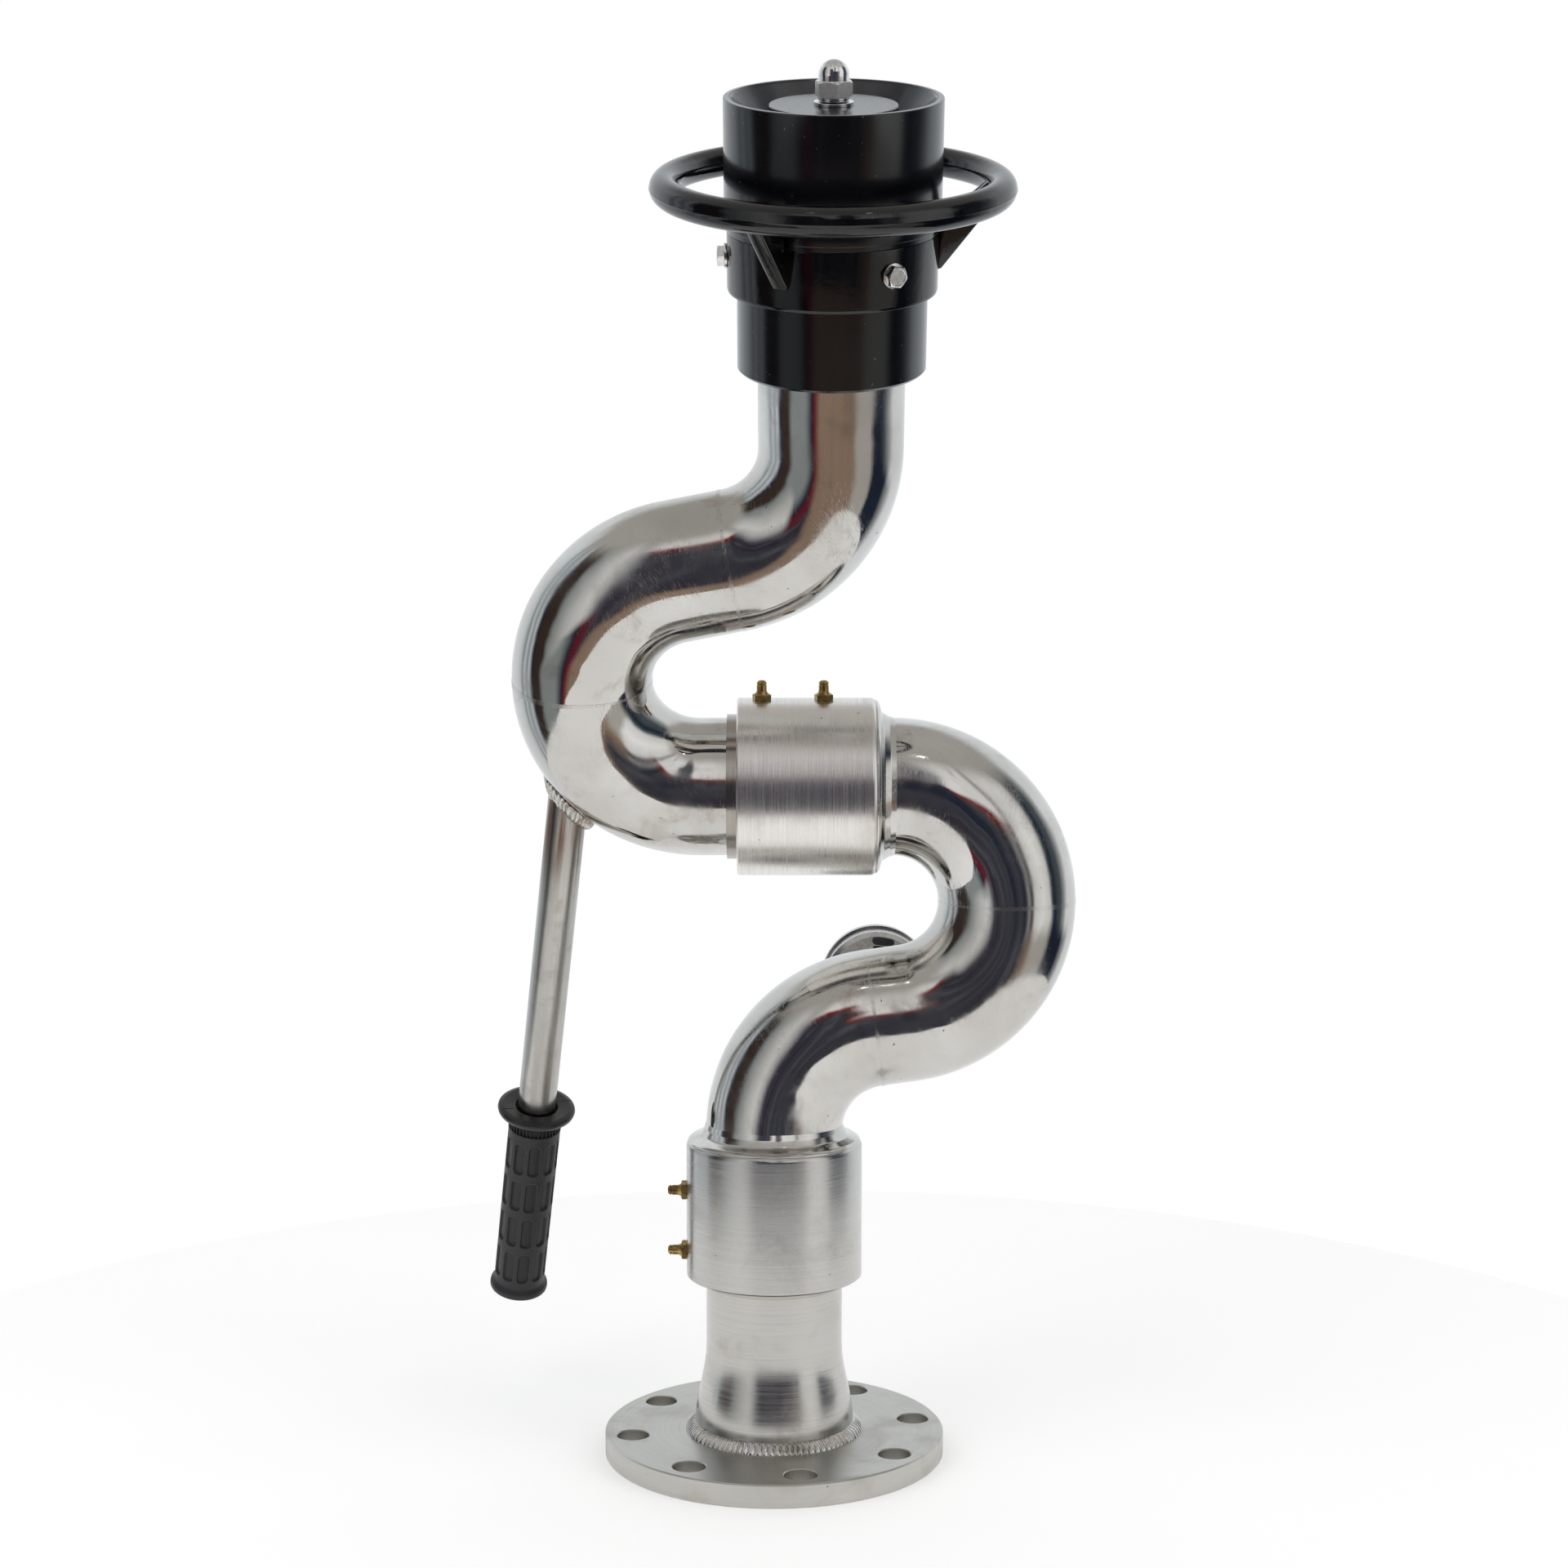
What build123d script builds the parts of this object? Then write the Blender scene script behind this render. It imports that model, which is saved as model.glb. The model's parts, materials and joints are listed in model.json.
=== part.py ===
from build123d import *
import os
from math import cos, radians, sin

# Manual fire water monitor, in millimetres. The origin is the centre of the flange's lower face, on
# the axis of the base swivel. +Z is up, the elevation axis runs along X, and the nozzle leans
# towards -Y. The operator stands on the +Y side, which the pressure gauge faces.

os.makedirs("parts", exist_ok=True)

# ---- Driving dimensions -----------------------------------------------------------------------
# DN65 pipe and short-radius elbows
PIPE_R = 76.1 / 2
PIPE_BORE_R = PIPE_R - 3.0
BEND_R = 63.5
WELD_GAP = 2.0
WELD_PROUD = 0.12

# Inlet flange and concentric reducer, DN80 to DN65
FLANGE_D = 190.0
FLANGE_T = 13.0
BOLT_CIRCLE_D = 160.0
BOLT_HOLE_D = 18.0
BOLT_COUNT = 8
FIRST_BOLT_ANGLE = -79.7
INLET_R = 88.9 / 2
INLET_BORE_R = INLET_R - 3.0
REDUCER_FOOT = 3.0
REDUCER_TAPER = (16.0, 63.0)
REDUCER_TOP = 96.0
FLANGE_WELD_LEG = 5.5
FLANGE_CHAMFER = 0.8
HOLE_CHAMFER = 0.5

# Ball-race swivels, measured along the axis from the open end of the sleeve
SLEEVE_R = 49.0
SLEEVE_BORE_R = 41.7
SLEEVE_BORE_DEPTH = 70.0
SHOULDER = 76.0
SHOULDER_FOOT = 79.5
RACE_R = 41.3
RACE_LENGTH = 69.0
BALL_R = 4.0
GROOVE_R = 4.3
BALL_CIRCLE_R = 41.5
BALL_ROWS = (22.0, 39.0)
BALLS_PER_ROW = 24
SEAL_PLACE = 58.0
SEAL_R = 1.75
NIPPLE_PLACES = (13.5, 47.5)
NIPPLE_SHANK_R = 3.0
NIPPLE_SHANK_GAP = 0.8
NIPPLE_HEX_AF = 9.4
NIPPLE_HEX_H = 3.0
NIPPLE_NECK_R = 2.3
NIPPLE_NECK_H = 2.6
NIPPLE_HEAD_R = 3.2
NIPPLE_HEAD_H = 4.2
NIPPLE_HEAD_TAPER = 16
PLUG_R = 4.5

# Lower pipe: base sleeve, three elbows, elevation sleeve
BASE_SLEEVE_Z = 101.0
FIRST_BEND_Z = 183.0
LOWER_RISE_ANGLE = 8.0
LOWER_RISE_LENGTH = 19.9
ELEVATION_SLEEVE_X = -20.2

# Upper pipe, in the plane that leans 20 degrees from upright
REST_TILT = 20.0
NOZZLE_X = 30.0
UPPER_RISE_ANGLE = 11.5
UPPER_RISE_LENGTH = 33.0
RACE_COLLAR_R = 40.0
RACE_COLLAR_L = 5.6

# Operating handle, in the upper pipe's plane
HANDLE_R = 11.0
HANDLE_WALL = 2.0
HANDLE_TOP = (-114.5, -10.0)
HANDLE_FOOT = (-155.5, -332.0)
HANDLE_WELD_W = 3.5
GRIP_R = 15.0
GRIP_LENGTH = 128.0
GRIP_FLANGE_R = 22.5
GRIP_FLANGE_T = 5.0
GRIP_END_R = 17.0
GRIP_END_T = 3.5

# Nozzle, measured along its axis from the elevation axis
BODY_R = 48.5
BODY_FOOT = 236.7
BODY_SHOULDER = 318.5
NOSE_R = 38.7
NOSE_TOP = 352.0
SOCKET_TOP = 262.0
WATERWAY_R = 33.5
HUB_FOOT = 278.0
HUB_TOP = 308.5
HUB_R = 53.5
SKIRT_R = 51.2
BARREL_R = 54.75
BARREL_BORE_R = 48.8
RIM = 374.0
RIM_BORE_R = 50.5
CONE_FOOT = 358.0
THROAT_R = 39.0
THROAT_FOOT = 344.0
GLIDE = (311.0, 317.0)
GLIDE_R = 50.3
RUNNING_GAP = 0.3
WHEEL_R = 84.5
WHEEL_TUBE_R = 7.5
WHEEL_PLACE = 330.0
RIB_T = 8.5
RIB_AZIMUTHS = (-29, 91, 211)
BOLT_AZIMUTHS = (32.5, -87.5, 152.5)
HUB_BOLT_PLACE = 295.5
DISC_R = 32.25
DISC = (364.0, 370.0)
STEM_R = 6.0
THREAD_R = 5.0
STEM_FOOT = 266.0
SPIDER_TOP = 290.0
FLAT_WASHER_T = 1.6
SPRING_WASHER_T = 2.2
ACORN_AF = 17.0
ACORN_HEX_H = 8.0
ACORN_H = 18.0

# Pressure gauge, behind the joint of the two lowest elbows
GAUGE_X = 60.0
GAUGE_Z = 252.5
CASE_BACK = 72.0
CASE_FRONT = 99.0
CASE_R = 31.0
BEZEL_R = 32.5
DIAL_Y = 91.0
NEEDLE_Y = 93.0
GLASS = (96.0, 98.0)
TAPPING_R = 2.5

# ---- Pipe runs --------------------------------------------------------------------------------
def centre_step(angle, length):
    """From one bend's centre to the next, across a straight that rises at an angle."""
    across_straight = Vector(-sin(radians(angle)), cos(radians(angle)))
    along_straight = Vector(cos(radians(angle)), sin(radians(angle)))
    return across_straight * (2 * BEND_R) + along_straight * length


lower_step = centre_step(LOWER_RISE_ANGLE, LOWER_RISE_LENGTH)
first_centre = (BEND_R, FIRST_BEND_Z)
return_centre = (BEND_R + lower_step.X, FIRST_BEND_Z + lower_step.Y)
ELEVATION_Z = return_centre[1] + BEND_R
upper_step = centre_step(UPPER_RISE_ANGLE, UPPER_RISE_LENGTH)
loop_centre = (NOZZLE_X - BEND_R - upper_step.X, BEND_R)
last_centre = (NOZZLE_X - BEND_R, BEND_R + upper_step.Y)

# ---- Frames -----------------------------------------------------------------------------------
TILT_UP = Vector(0, -sin(radians(REST_TILT)), cos(radians(REST_TILT)))
upright = Plane.XZ
leaning = Plane(origin=(0, 0, ELEVATION_Z), x_dir=(1, 0, 0), z_dir=Vector(1, 0, 0).cross(TILT_UP))
nozzle_plane = Plane(origin=leaning.from_local_coords((NOZZLE_X, 0, 0)), x_dir=(1, 0, 0),
                     z_dir=leaning.z_dir)
base_swivel = Plane(origin=(0, 0, BASE_SLEEVE_Z), x_dir=(1, 0, 0), z_dir=(0, -1, 0))
elevation_swivel = Plane(origin=(ELEVATION_SLEEVE_X, 0, ELEVATION_Z), x_dir=(0, 0, 1), z_dir=(0, 1, 0))
gauge_plane = Plane(origin=(GAUGE_X, 0, GAUGE_Z), x_dir=(1, 0, 0), z_dir=(0, 0, 1))


def keep(piece, name):
    """Label a finished piece and write it as its own STEP file."""
    piece.part.label = name
    export_step(piece.part, f"parts/{name}.step")


def axis_of(at):
    """The Y direction of a plane, as the axis of the round parts drawn on it."""
    return Axis(at.origin, at.y_dir)


def across(at, along):
    """Plane square to the axis of a round part, at a place along it."""
    return Plane(origin=at.origin + at.y_dir * along, x_dir=at.x_dir, z_dir=at.y_dir)


def outward(at, along, angle, radius):
    """Plane that faces outwards on a round part, at an angle from the plane's X direction."""
    away = at.x_dir * cos(radians(angle)) + at.z_dir * sin(radians(angle))
    return Plane(origin=at.origin + at.y_dir * along + away * radius, x_dir=at.y_dir, z_dir=away)


def turned(at, points):
    """A round part from its half profile of (radius, place along the axis) points."""
    with BuildPart() as piece:
        with BuildSketch(at):
            with BuildLine():
                Polyline(*points, close=True)
            make_face()
        revolve(axis=axis_of(at))
    return piece


def tube_between(at, outer_r, inner_r, start, end):
    """A straight length of tube on a plane's Y axis."""
    return turned(at, [(inner_r, start), (outer_r, start), (outer_r, end), (inner_r, end)])


def bend(at, centre, start, sweep, outer_r=PIPE_R, inner_r=PIPE_BORE_R):
    """Part of a pipe bend: centre on the plane, and the angles that it starts at and sweeps."""
    middle = at.from_local_coords((centre[0], centre[1], 0))
    spoke = at.x_dir * cos(radians(start)) + at.y_dir * sin(radians(start))
    section = Plane(origin=middle + spoke * BEND_R, x_dir=spoke, z_dir=at.z_dir.cross(spoke))
    turn = at.z_dir if sweep > 0 else at.z_dir * -1
    with BuildPart() as piece:
        with BuildSketch(section):
            Circle(outer_r)
            if inner_r:
                Circle(inner_r, mode=Mode.SUBTRACT)
        revolve(axis=Axis(middle, turn), revolution_arc=abs(sweep))
    return piece


def rise_frame(at, centre, angle):
    """Plane whose Y axis runs along the rising straight that leaves the top of a bend."""
    across_straight = at.x_dir * -sin(radians(angle)) + at.y_dir * cos(radians(angle))
    start = at.from_local_coords((centre[0], centre[1], 0)) + across_straight * BEND_R
    return Plane(origin=start, x_dir=across_straight, z_dir=at.z_dir * -1)


def along_x(at, x, height):
    """Plane whose Y axis runs along X, for a pipe that lies flat at a height on another plane."""
    return Plane(origin=at.from_local_coords((x, height, 0)), x_dir=at.y_dir,
                 z_dir=at.y_dir.cross(at.x_dir))


# ---- Flange, reducer and their weld -----------------------------------------------------------
with BuildPart() as flange:
    with BuildSketch():
        Circle(FLANGE_D / 2)
        Circle(INLET_R, mode=Mode.SUBTRACT)
        with PolarLocations(BOLT_CIRCLE_D / 2, BOLT_COUNT, start_angle=FIRST_BOLT_ANGLE):
            Circle(BOLT_HOLE_D / 2, mode=Mode.SUBTRACT)
    extrude(amount=FLANGE_T)
    circles = flange.edges().filter_by(GeomType.CIRCLE)
    chamfer(circles.filter_by(lambda edge: abs(edge.radius - FLANGE_D / 2) < 0.1), length=FLANGE_CHAMFER)
    circles = flange.edges().filter_by(GeomType.CIRCLE)
    chamfer(circles.filter_by(lambda edge: abs(edge.radius - BOLT_HOLE_D / 2) < 0.1), length=HOLE_CHAMFER)
keep(flange, "flange")

with BuildPart() as base_reducer:
    with BuildSketch(upright):
        with BuildLine():
            Polyline((INLET_BORE_R, REDUCER_TAPER[0]), (INLET_BORE_R, REDUCER_FOOT),
                     (INLET_R, REDUCER_FOOT), (INLET_R, REDUCER_TAPER[0]))
            Spline((INLET_R, REDUCER_TAPER[0]), (PIPE_R, REDUCER_TAPER[1]), tangents=[(0, 1), (0, 1)])
            Polyline((PIPE_R, REDUCER_TAPER[1]), (PIPE_R, REDUCER_TOP), (PIPE_BORE_R, REDUCER_TOP),
                     (PIPE_BORE_R, REDUCER_TAPER[1]))
            Spline((PIPE_BORE_R, REDUCER_TAPER[1]), (INLET_BORE_R, REDUCER_TAPER[0]),
                   tangents=[(0, -1), (0, -1)])
        make_face()
    revolve(axis=Axis.Z)
keep(base_reducer, "base_reducer")

flange_weld = turned(upright, [(INLET_R, FLANGE_T), (INLET_R + FLANGE_WELD_LEG, FLANGE_T),
                               (INLET_R + 3.2, FLANGE_T + 3.2), (INLET_R, FLANGE_T + FLANGE_WELD_LEG)])
keep(flange_weld, "flange_weld")


# ---- Swivels ----------------------------------------------------------------------------------
def swivel_sleeve(at, neck_end, nipple_angle, plug_angle):
    """Outer half of a swivel: grooved bore at its open end, narrowing to a pipe neck."""
    with BuildPart() as sleeve:
        with BuildSketch(at) as profile:
            with BuildLine():
                Polyline((SLEEVE_BORE_R, 0), (SLEEVE_R - 0.8, 0), (SLEEVE_R, 0.8), (SLEEVE_R, SHOULDER),
                         (PIPE_R, SHOULDER_FOOT), (PIPE_R, neck_end), (PIPE_BORE_R, neck_end),
                         (PIPE_BORE_R, SLEEVE_BORE_DEPTH), (SLEEVE_BORE_R, SLEEVE_BORE_DEPTH),
                         close=True)
            make_face()
            shoulder = profile.vertices().group_by(Axis.X)[-1].sort_by(Axis.Y)[-1]
            fillet(shoulder, radius=4)
            with Locations(*[(BALL_CIRCLE_R, row) for row in BALL_ROWS]):
                Circle(GROOVE_R, mode=Mode.SUBTRACT)
        revolve(axis=axis_of(at))
        for place in NIPPLE_PLACES:
            with BuildSketch(outward(at, place, nipple_angle, SLEEVE_BORE_R - 3)):
                Circle(NIPPLE_SHANK_R)
            extrude(amount=12, mode=Mode.SUBTRACT)
        for row in BALL_ROWS:
            with BuildSketch(outward(at, row, plug_angle, SLEEVE_BORE_R - 3)):
                Circle(PLUG_R)
            extrude(amount=12, mode=Mode.SUBTRACT)
    return sleeve


def swivel_race(at, collar_r, collar_length):
    """Inner half of a swivel: two ball grooves and a seal groove, with a collar left in sight."""
    with BuildPart() as race:
        with BuildSketch(at):
            with BuildLine():
                Polyline((PIPE_BORE_R, -collar_length), (collar_r, -collar_length), (collar_r, 0.8),
                         (RACE_R, 1.6), (RACE_R, RACE_LENGTH - 1), (RACE_R - 1, RACE_LENGTH),
                         (PIPE_BORE_R, RACE_LENGTH), close=True)
            make_face()
            with Locations(*[(BALL_CIRCLE_R, row) for row in BALL_ROWS]):
                Circle(GROOVE_R, mode=Mode.SUBTRACT)
            with Locations((RACE_R, SEAL_PLACE)):
                Rectangle(2 * (2 * SEAL_R - 0.2), 2 * SEAL_R + 0.4, mode=Mode.SUBTRACT)
        revolve(axis=axis_of(at))
    return race


def swivel_seal(at):
    """O-ring in the race's seal groove, just clear of the sleeve's bore."""
    with BuildPart() as seal:
        with BuildSketch(at):
            with Locations((SLEEVE_BORE_R - 0.1 - SEAL_R, SEAL_PLACE)):
                Circle(SEAL_R)
        revolve(axis=axis_of(at))
    return seal


def swivel_balls(at):
    """Two rows of loose balls, as one group of solids."""
    with BuildPart() as balls:
        for row in BALL_ROWS:
            with Locations(across(at, row)):
                with PolarLocations(BALL_CIRCLE_R, BALLS_PER_ROW):
                    Sphere(BALL_R)
    return balls


def grease_nipples(at, angle):
    """Grease nipples: threaded shank, hexagon, round neck and tapered head."""
    with BuildPart() as nipples:
        for place in NIPPLE_PLACES:
            with BuildSketch(outward(at, place, angle, SLEEVE_BORE_R + NIPPLE_SHANK_GAP)):
                Circle(NIPPLE_SHANK_R)
            extrude(amount=SLEEVE_R - SLEEVE_BORE_R - NIPPLE_SHANK_GAP)
            with BuildSketch(outward(at, place, angle, SLEEVE_R)):
                RegularPolygon(radius=NIPPLE_HEX_AF / 2, side_count=6, major_radius=False)
            extrude(amount=NIPPLE_HEX_H)
            with BuildSketch(outward(at, place, angle, SLEEVE_R + NIPPLE_HEX_H)):
                Circle(NIPPLE_NECK_R)
            extrude(amount=NIPPLE_NECK_H)
            with BuildSketch(outward(at, place, angle, SLEEVE_R + NIPPLE_HEX_H + NIPPLE_NECK_H)):
                Circle(NIPPLE_HEAD_R)
            extrude(amount=NIPPLE_HEAD_H, taper=NIPPLE_HEAD_TAPER)
    return nipples


def ball_plugs(at, angle):
    """Slotted screw plugs that close the holes the balls are loaded through."""
    with BuildPart() as plugs:
        for row in BALL_ROWS:
            with BuildSketch(outward(at, row, angle, BALL_CIRCLE_R + GROOVE_R + 0.3)):
                Circle(PLUG_R)
            extrude(amount=SLEEVE_R - BALL_CIRCLE_R - GROOVE_R - 0.6)
            with BuildSketch(outward(at, row, angle, SLEEVE_R - 1.5)):
                Rectangle(1.2, 12)
            extrude(amount=3, mode=Mode.SUBTRACT)
    return plugs


BASE_NIPPLES_AT = 180
BASE_PLUGS_AT = -90
ELEVATION_NIPPLES_AT = -8
ELEVATION_PLUGS_AT = 90
elevation_neck_end = return_centre[0] - WELD_GAP - ELEVATION_SLEEVE_X
base_neck_end = FIRST_BEND_Z - WELD_GAP - BASE_SLEEVE_Z

base_race = swivel_race(base_swivel, PIPE_R, BASE_SLEEVE_Z - REDUCER_TOP)
keep(base_race, "base_race")
base_seal = swivel_seal(base_swivel)
keep(base_seal, "base_seal")
base_balls = swivel_balls(base_swivel)
keep(base_balls, "base_balls")
base_sleeve = swivel_sleeve(base_swivel, base_neck_end, BASE_NIPPLES_AT, BASE_PLUGS_AT)
keep(base_sleeve, "base_sleeve")
base_grease_nipples = grease_nipples(base_swivel, BASE_NIPPLES_AT)
keep(base_grease_nipples, "base_grease_nipples")
base_ball_plugs = ball_plugs(base_swivel, BASE_PLUGS_AT)
keep(base_ball_plugs, "base_ball_plugs")

elevation_race = swivel_race(elevation_swivel, RACE_COLLAR_R, RACE_COLLAR_L)
keep(elevation_race, "elevation_race")
elevation_seal = swivel_seal(elevation_swivel)
keep(elevation_seal, "elevation_seal")
elevation_balls = swivel_balls(elevation_swivel)
keep(elevation_balls, "elevation_balls")
elevation_sleeve = swivel_sleeve(elevation_swivel, elevation_neck_end, ELEVATION_NIPPLES_AT,
                                 ELEVATION_PLUGS_AT)
keep(elevation_sleeve, "elevation_sleeve")
elevation_grease_nipples = grease_nipples(elevation_swivel, ELEVATION_NIPPLES_AT)
keep(elevation_grease_nipples, "elevation_grease_nipples")
elevation_ball_plugs = ball_plugs(elevation_swivel, ELEVATION_PLUGS_AT)
keep(elevation_ball_plugs, "elevation_ball_plugs")

# ---- Lower pipe: three elbows and the seams between them --------------------------------------
SEAM_ANGLE = 1.8
SEAM_R = PIPE_R + WELD_PROUD
lower_rise = rise_frame(upright, first_centre, LOWER_RISE_ANGLE)

lower_elbow_inlet = bend(upright, first_centre, 180, -90 + LOWER_RISE_ANGLE)
keep(lower_elbow_inlet, "lower_elbow_inlet")

with BuildPart() as lower_elbow_middle:
    add(tube_between(lower_rise, PIPE_R, PIPE_BORE_R, WELD_GAP, LOWER_RISE_LENGTH).part)
    add(bend(upright, return_centre, -90 + LOWER_RISE_ANGLE,
             90 - LOWER_RISE_ANGLE - SEAM_ANGLE / 2).part)
    with BuildSketch(across(gauge_plane, PIPE_BORE_R - 10)):
        Circle(TAPPING_R)
    extrude(amount=20, mode=Mode.SUBTRACT)
keep(lower_elbow_middle, "lower_elbow_middle")
lower_elbow_outlet = bend(upright, return_centre, SEAM_ANGLE / 2, 90 - SEAM_ANGLE / 2)
keep(lower_elbow_outlet, "lower_elbow_outlet")

lower_seams = [
    tube_between(upright, SEAM_R, PIPE_BORE_R, FIRST_BEND_Z - WELD_GAP, FIRST_BEND_Z),
    tube_between(lower_rise, SEAM_R, PIPE_BORE_R, 0, WELD_GAP),
    bend(upright, return_centre, -SEAM_ANGLE / 2, SEAM_ANGLE, SEAM_R),
    tube_between(along_x(upright, 0, ELEVATION_Z), SEAM_R, PIPE_BORE_R, return_centre[0] - WELD_GAP,
                 return_centre[0]),
]
with BuildPart() as lower_seam_welds:
    add([seam.part for seam in lower_seams])
keep(lower_seam_welds, "lower_seam_welds")

# ---- Pressure gauge ---------------------------------------------------------------------------
gauge_footprint = [
    bend(upright, first_centre, 180, -90 + LOWER_RISE_ANGLE, PIPE_R, 0),
    tube_between(lower_rise, SEAM_R, 0, 0, WELD_GAP),
    tube_between(lower_rise, PIPE_R, 0, 0, LOWER_RISE_LENGTH),
]
BOSS_R = 10.0
BOSS_TOP = 50.0
with BuildPart() as gauge_boss:
    with BuildSketch(across(gauge_plane, 20)):
        Circle(BOSS_R)
        Circle(THREAD_R, mode=Mode.SUBTRACT)
    extrude(amount=BOSS_TOP - 20)
    add([pipe.part for pipe in gauge_footprint], mode=Mode.SUBTRACT)
keep(gauge_boss, "gauge_boss")

SOCKET_END = 82.0
with BuildPart() as gauge_stem:
    with BuildSketch(across(gauge_plane, BOSS_TOP - 8)):
        Circle(THREAD_R)
    extrude(amount=SOCKET_END - BOSS_TOP + 8)
    with BuildSketch(across(gauge_plane, BOSS_TOP)):
        RegularPolygon(radius=7, side_count=6, major_radius=False)
    extrude(amount=11)
    with BuildSketch(across(gauge_plane, BOSS_TOP - 8)):
        Circle(1.5)
    extrude(amount=30, mode=Mode.SUBTRACT)
keep(gauge_stem, "gauge_stem")

gauge_case = turned(gauge_plane, [
    (THREAD_R, CASE_BACK), (21.5, CASE_BACK), (23.0, CASE_BACK + 2.5), (28.5, CASE_BACK + 2.5),
    (CASE_R, CASE_BACK + 5), (CASE_R, CASE_FRONT), (CASE_R - 1, CASE_FRONT),
    (CASE_R - 1, CASE_BACK + 5.6), (28.1, CASE_BACK + 3.5), (22.4, CASE_BACK + 3.5),
    (20.9, CASE_BACK + 1), (THREAD_R, CASE_BACK + 1)])
keep(gauge_case, "gauge_case")

gauge_bezel = turned(gauge_plane, [
    (CASE_R, CASE_FRONT - 6), (BEZEL_R, CASE_FRONT - 6), (BEZEL_R, CASE_FRONT + 1),
    (BEZEL_R - 1.2, CASE_FRONT + 2.2), (27.5, CASE_FRONT + 2.2), (27.5, CASE_FRONT + 1.2),
    (CASE_R, CASE_FRONT)])
keep(gauge_bezel, "gauge_bezel")

NEEDLE_SHAFT_R = 0.9
gauge_dial = tube_between(gauge_plane, CASE_R - 1.2, NEEDLE_SHAFT_R + RUNNING_GAP, DIAL_Y, DIAL_Y + 0.8)
keep(gauge_dial, "gauge_dial")
gauge_glass = turned(gauge_plane, [(0, GLASS[0]), (CASE_R - 1.2, GLASS[0]), (CASE_R - 1.2, GLASS[1]),
                                   (0, GLASS[1])])
keep(gauge_glass, "gauge_glass")

with BuildPart() as bourdon_tube:
    with BuildSketch(Plane(origin=(GAUGE_X, 84, GAUGE_Z), x_dir=(1, 0, 0), z_dir=(0, 0, 1))):
        with Locations((19, 0)):
            Rectangle(3, 7)
            Rectangle(1.6, 5.6, mode=Mode.SUBTRACT)
    revolve(axis=axis_of(gauge_plane), revolution_arc=250)
keep(bourdon_tube, "bourdon_tube")

with BuildPart() as gauge_vent_plug:
    with BuildSketch(Plane(origin=(GAUGE_X + 3.6, CASE_BACK + 2.5, GAUGE_Z + 25.6), x_dir=(1, 0, -0.14),
                           z_dir=(0, -1, 0))):
        SlotOverall(13, 4.6)
    extrude(amount=1.8)
    fillet(gauge_vent_plug.faces().sort_by(Axis.Y)[0].edges(), radius=0.8)
keep(gauge_vent_plug, "gauge_vent_plug")

# The needle rests at zero, to the lower left of the dial as the operator reads it.
needle_face = Plane(origin=(GAUGE_X, NEEDLE_Y, GAUGE_Z), x_dir=(1, 0, -1), z_dir=(0, 1, 0))
with BuildPart() as gauge_needle:
    with BuildSketch(needle_face):
        with BuildLine():
            Polyline((-9, -1.3), (0, -1.5), (24, -0.3), (24, 0.3), (0, 1.5), (-9, 1.3), close=True)
        make_face()
        Circle(3)
    extrude(amount=0.8)
    with BuildSketch(needle_face.offset(-5)):
        Circle(NEEDLE_SHAFT_R)
    extrude(amount=5)
keep(gauge_needle, "gauge_needle")

# ---- Upper pipe -------------------------------------------------------------------------------
upper_rise = rise_frame(leaning, loop_centre, UPPER_RISE_ANGLE)
race_foot_x = ELEVATION_SLEEVE_X - RACE_COLLAR_L
elevation_line = along_x(leaning, 0, 0)

with BuildPart() as upper_elbow_inlet:
    add(tube_between(elevation_line, PIPE_R, PIPE_BORE_R, loop_centre[0], race_foot_x).part)
    add(bend(leaning, loop_centre, -90, -90 + SEAM_ANGLE / 2).part)
keep(upper_elbow_inlet, "upper_elbow_inlet")

with BuildPart() as upper_elbow_middle:
    add(bend(leaning, loop_centre, 180 - SEAM_ANGLE / 2, -90 + UPPER_RISE_ANGLE + SEAM_ANGLE / 2).part)
    add(tube_between(upper_rise, PIPE_R, PIPE_BORE_R, 0, UPPER_RISE_LENGTH - WELD_GAP).part)
keep(upper_elbow_middle, "upper_elbow_middle")

with BuildPart() as upper_elbow_outlet:
    add(bend(leaning, last_centre, -90 + UPPER_RISE_ANGLE, 90 - UPPER_RISE_ANGLE).part)
    add(tube_between(nozzle_plane, PIPE_R, PIPE_BORE_R, last_centre[1], SOCKET_TOP).part)
keep(upper_elbow_outlet, "upper_elbow_outlet")

upper_seams = [
    bend(leaning, loop_centre, 180 + SEAM_ANGLE / 2, -SEAM_ANGLE, SEAM_R),
    tube_between(upper_rise, SEAM_R, PIPE_BORE_R, UPPER_RISE_LENGTH - WELD_GAP, UPPER_RISE_LENGTH),
]
with BuildPart() as upper_seam_welds:
    add([seam.part for seam in upper_seams])
keep(upper_seam_welds, "upper_seam_welds")

# ---- Operating handle -------------------------------------------------------------------------
handle_top = leaning.from_local_coords((HANDLE_TOP[0], HANDLE_TOP[1], 0))
handle_foot = leaning.from_local_coords((HANDLE_FOOT[0], HANDLE_FOOT[1], 0))
handle_length = (handle_foot - handle_top).length
down_handle = (handle_foot - handle_top).normalized()
handle_plane = Plane(origin=handle_top, x_dir=down_handle.cross(leaning.z_dir), z_dir=leaning.z_dir)
HANDLE_ROOT = -20.0
grip_start = handle_length - GRIP_LENGTH
tube_end = handle_length - GRIP_END_T
handle_mate = bend(leaning, loop_centre, -90, -90, PIPE_R, 0)

with BuildPart() as handle_tube:
    add(tube_between(handle_plane, HANDLE_R, HANDLE_R - HANDLE_WALL, HANDLE_ROOT, tube_end).part)
    add(handle_mate.part, mode=Mode.SUBTRACT)
keep(handle_tube, "handle_tube")

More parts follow.
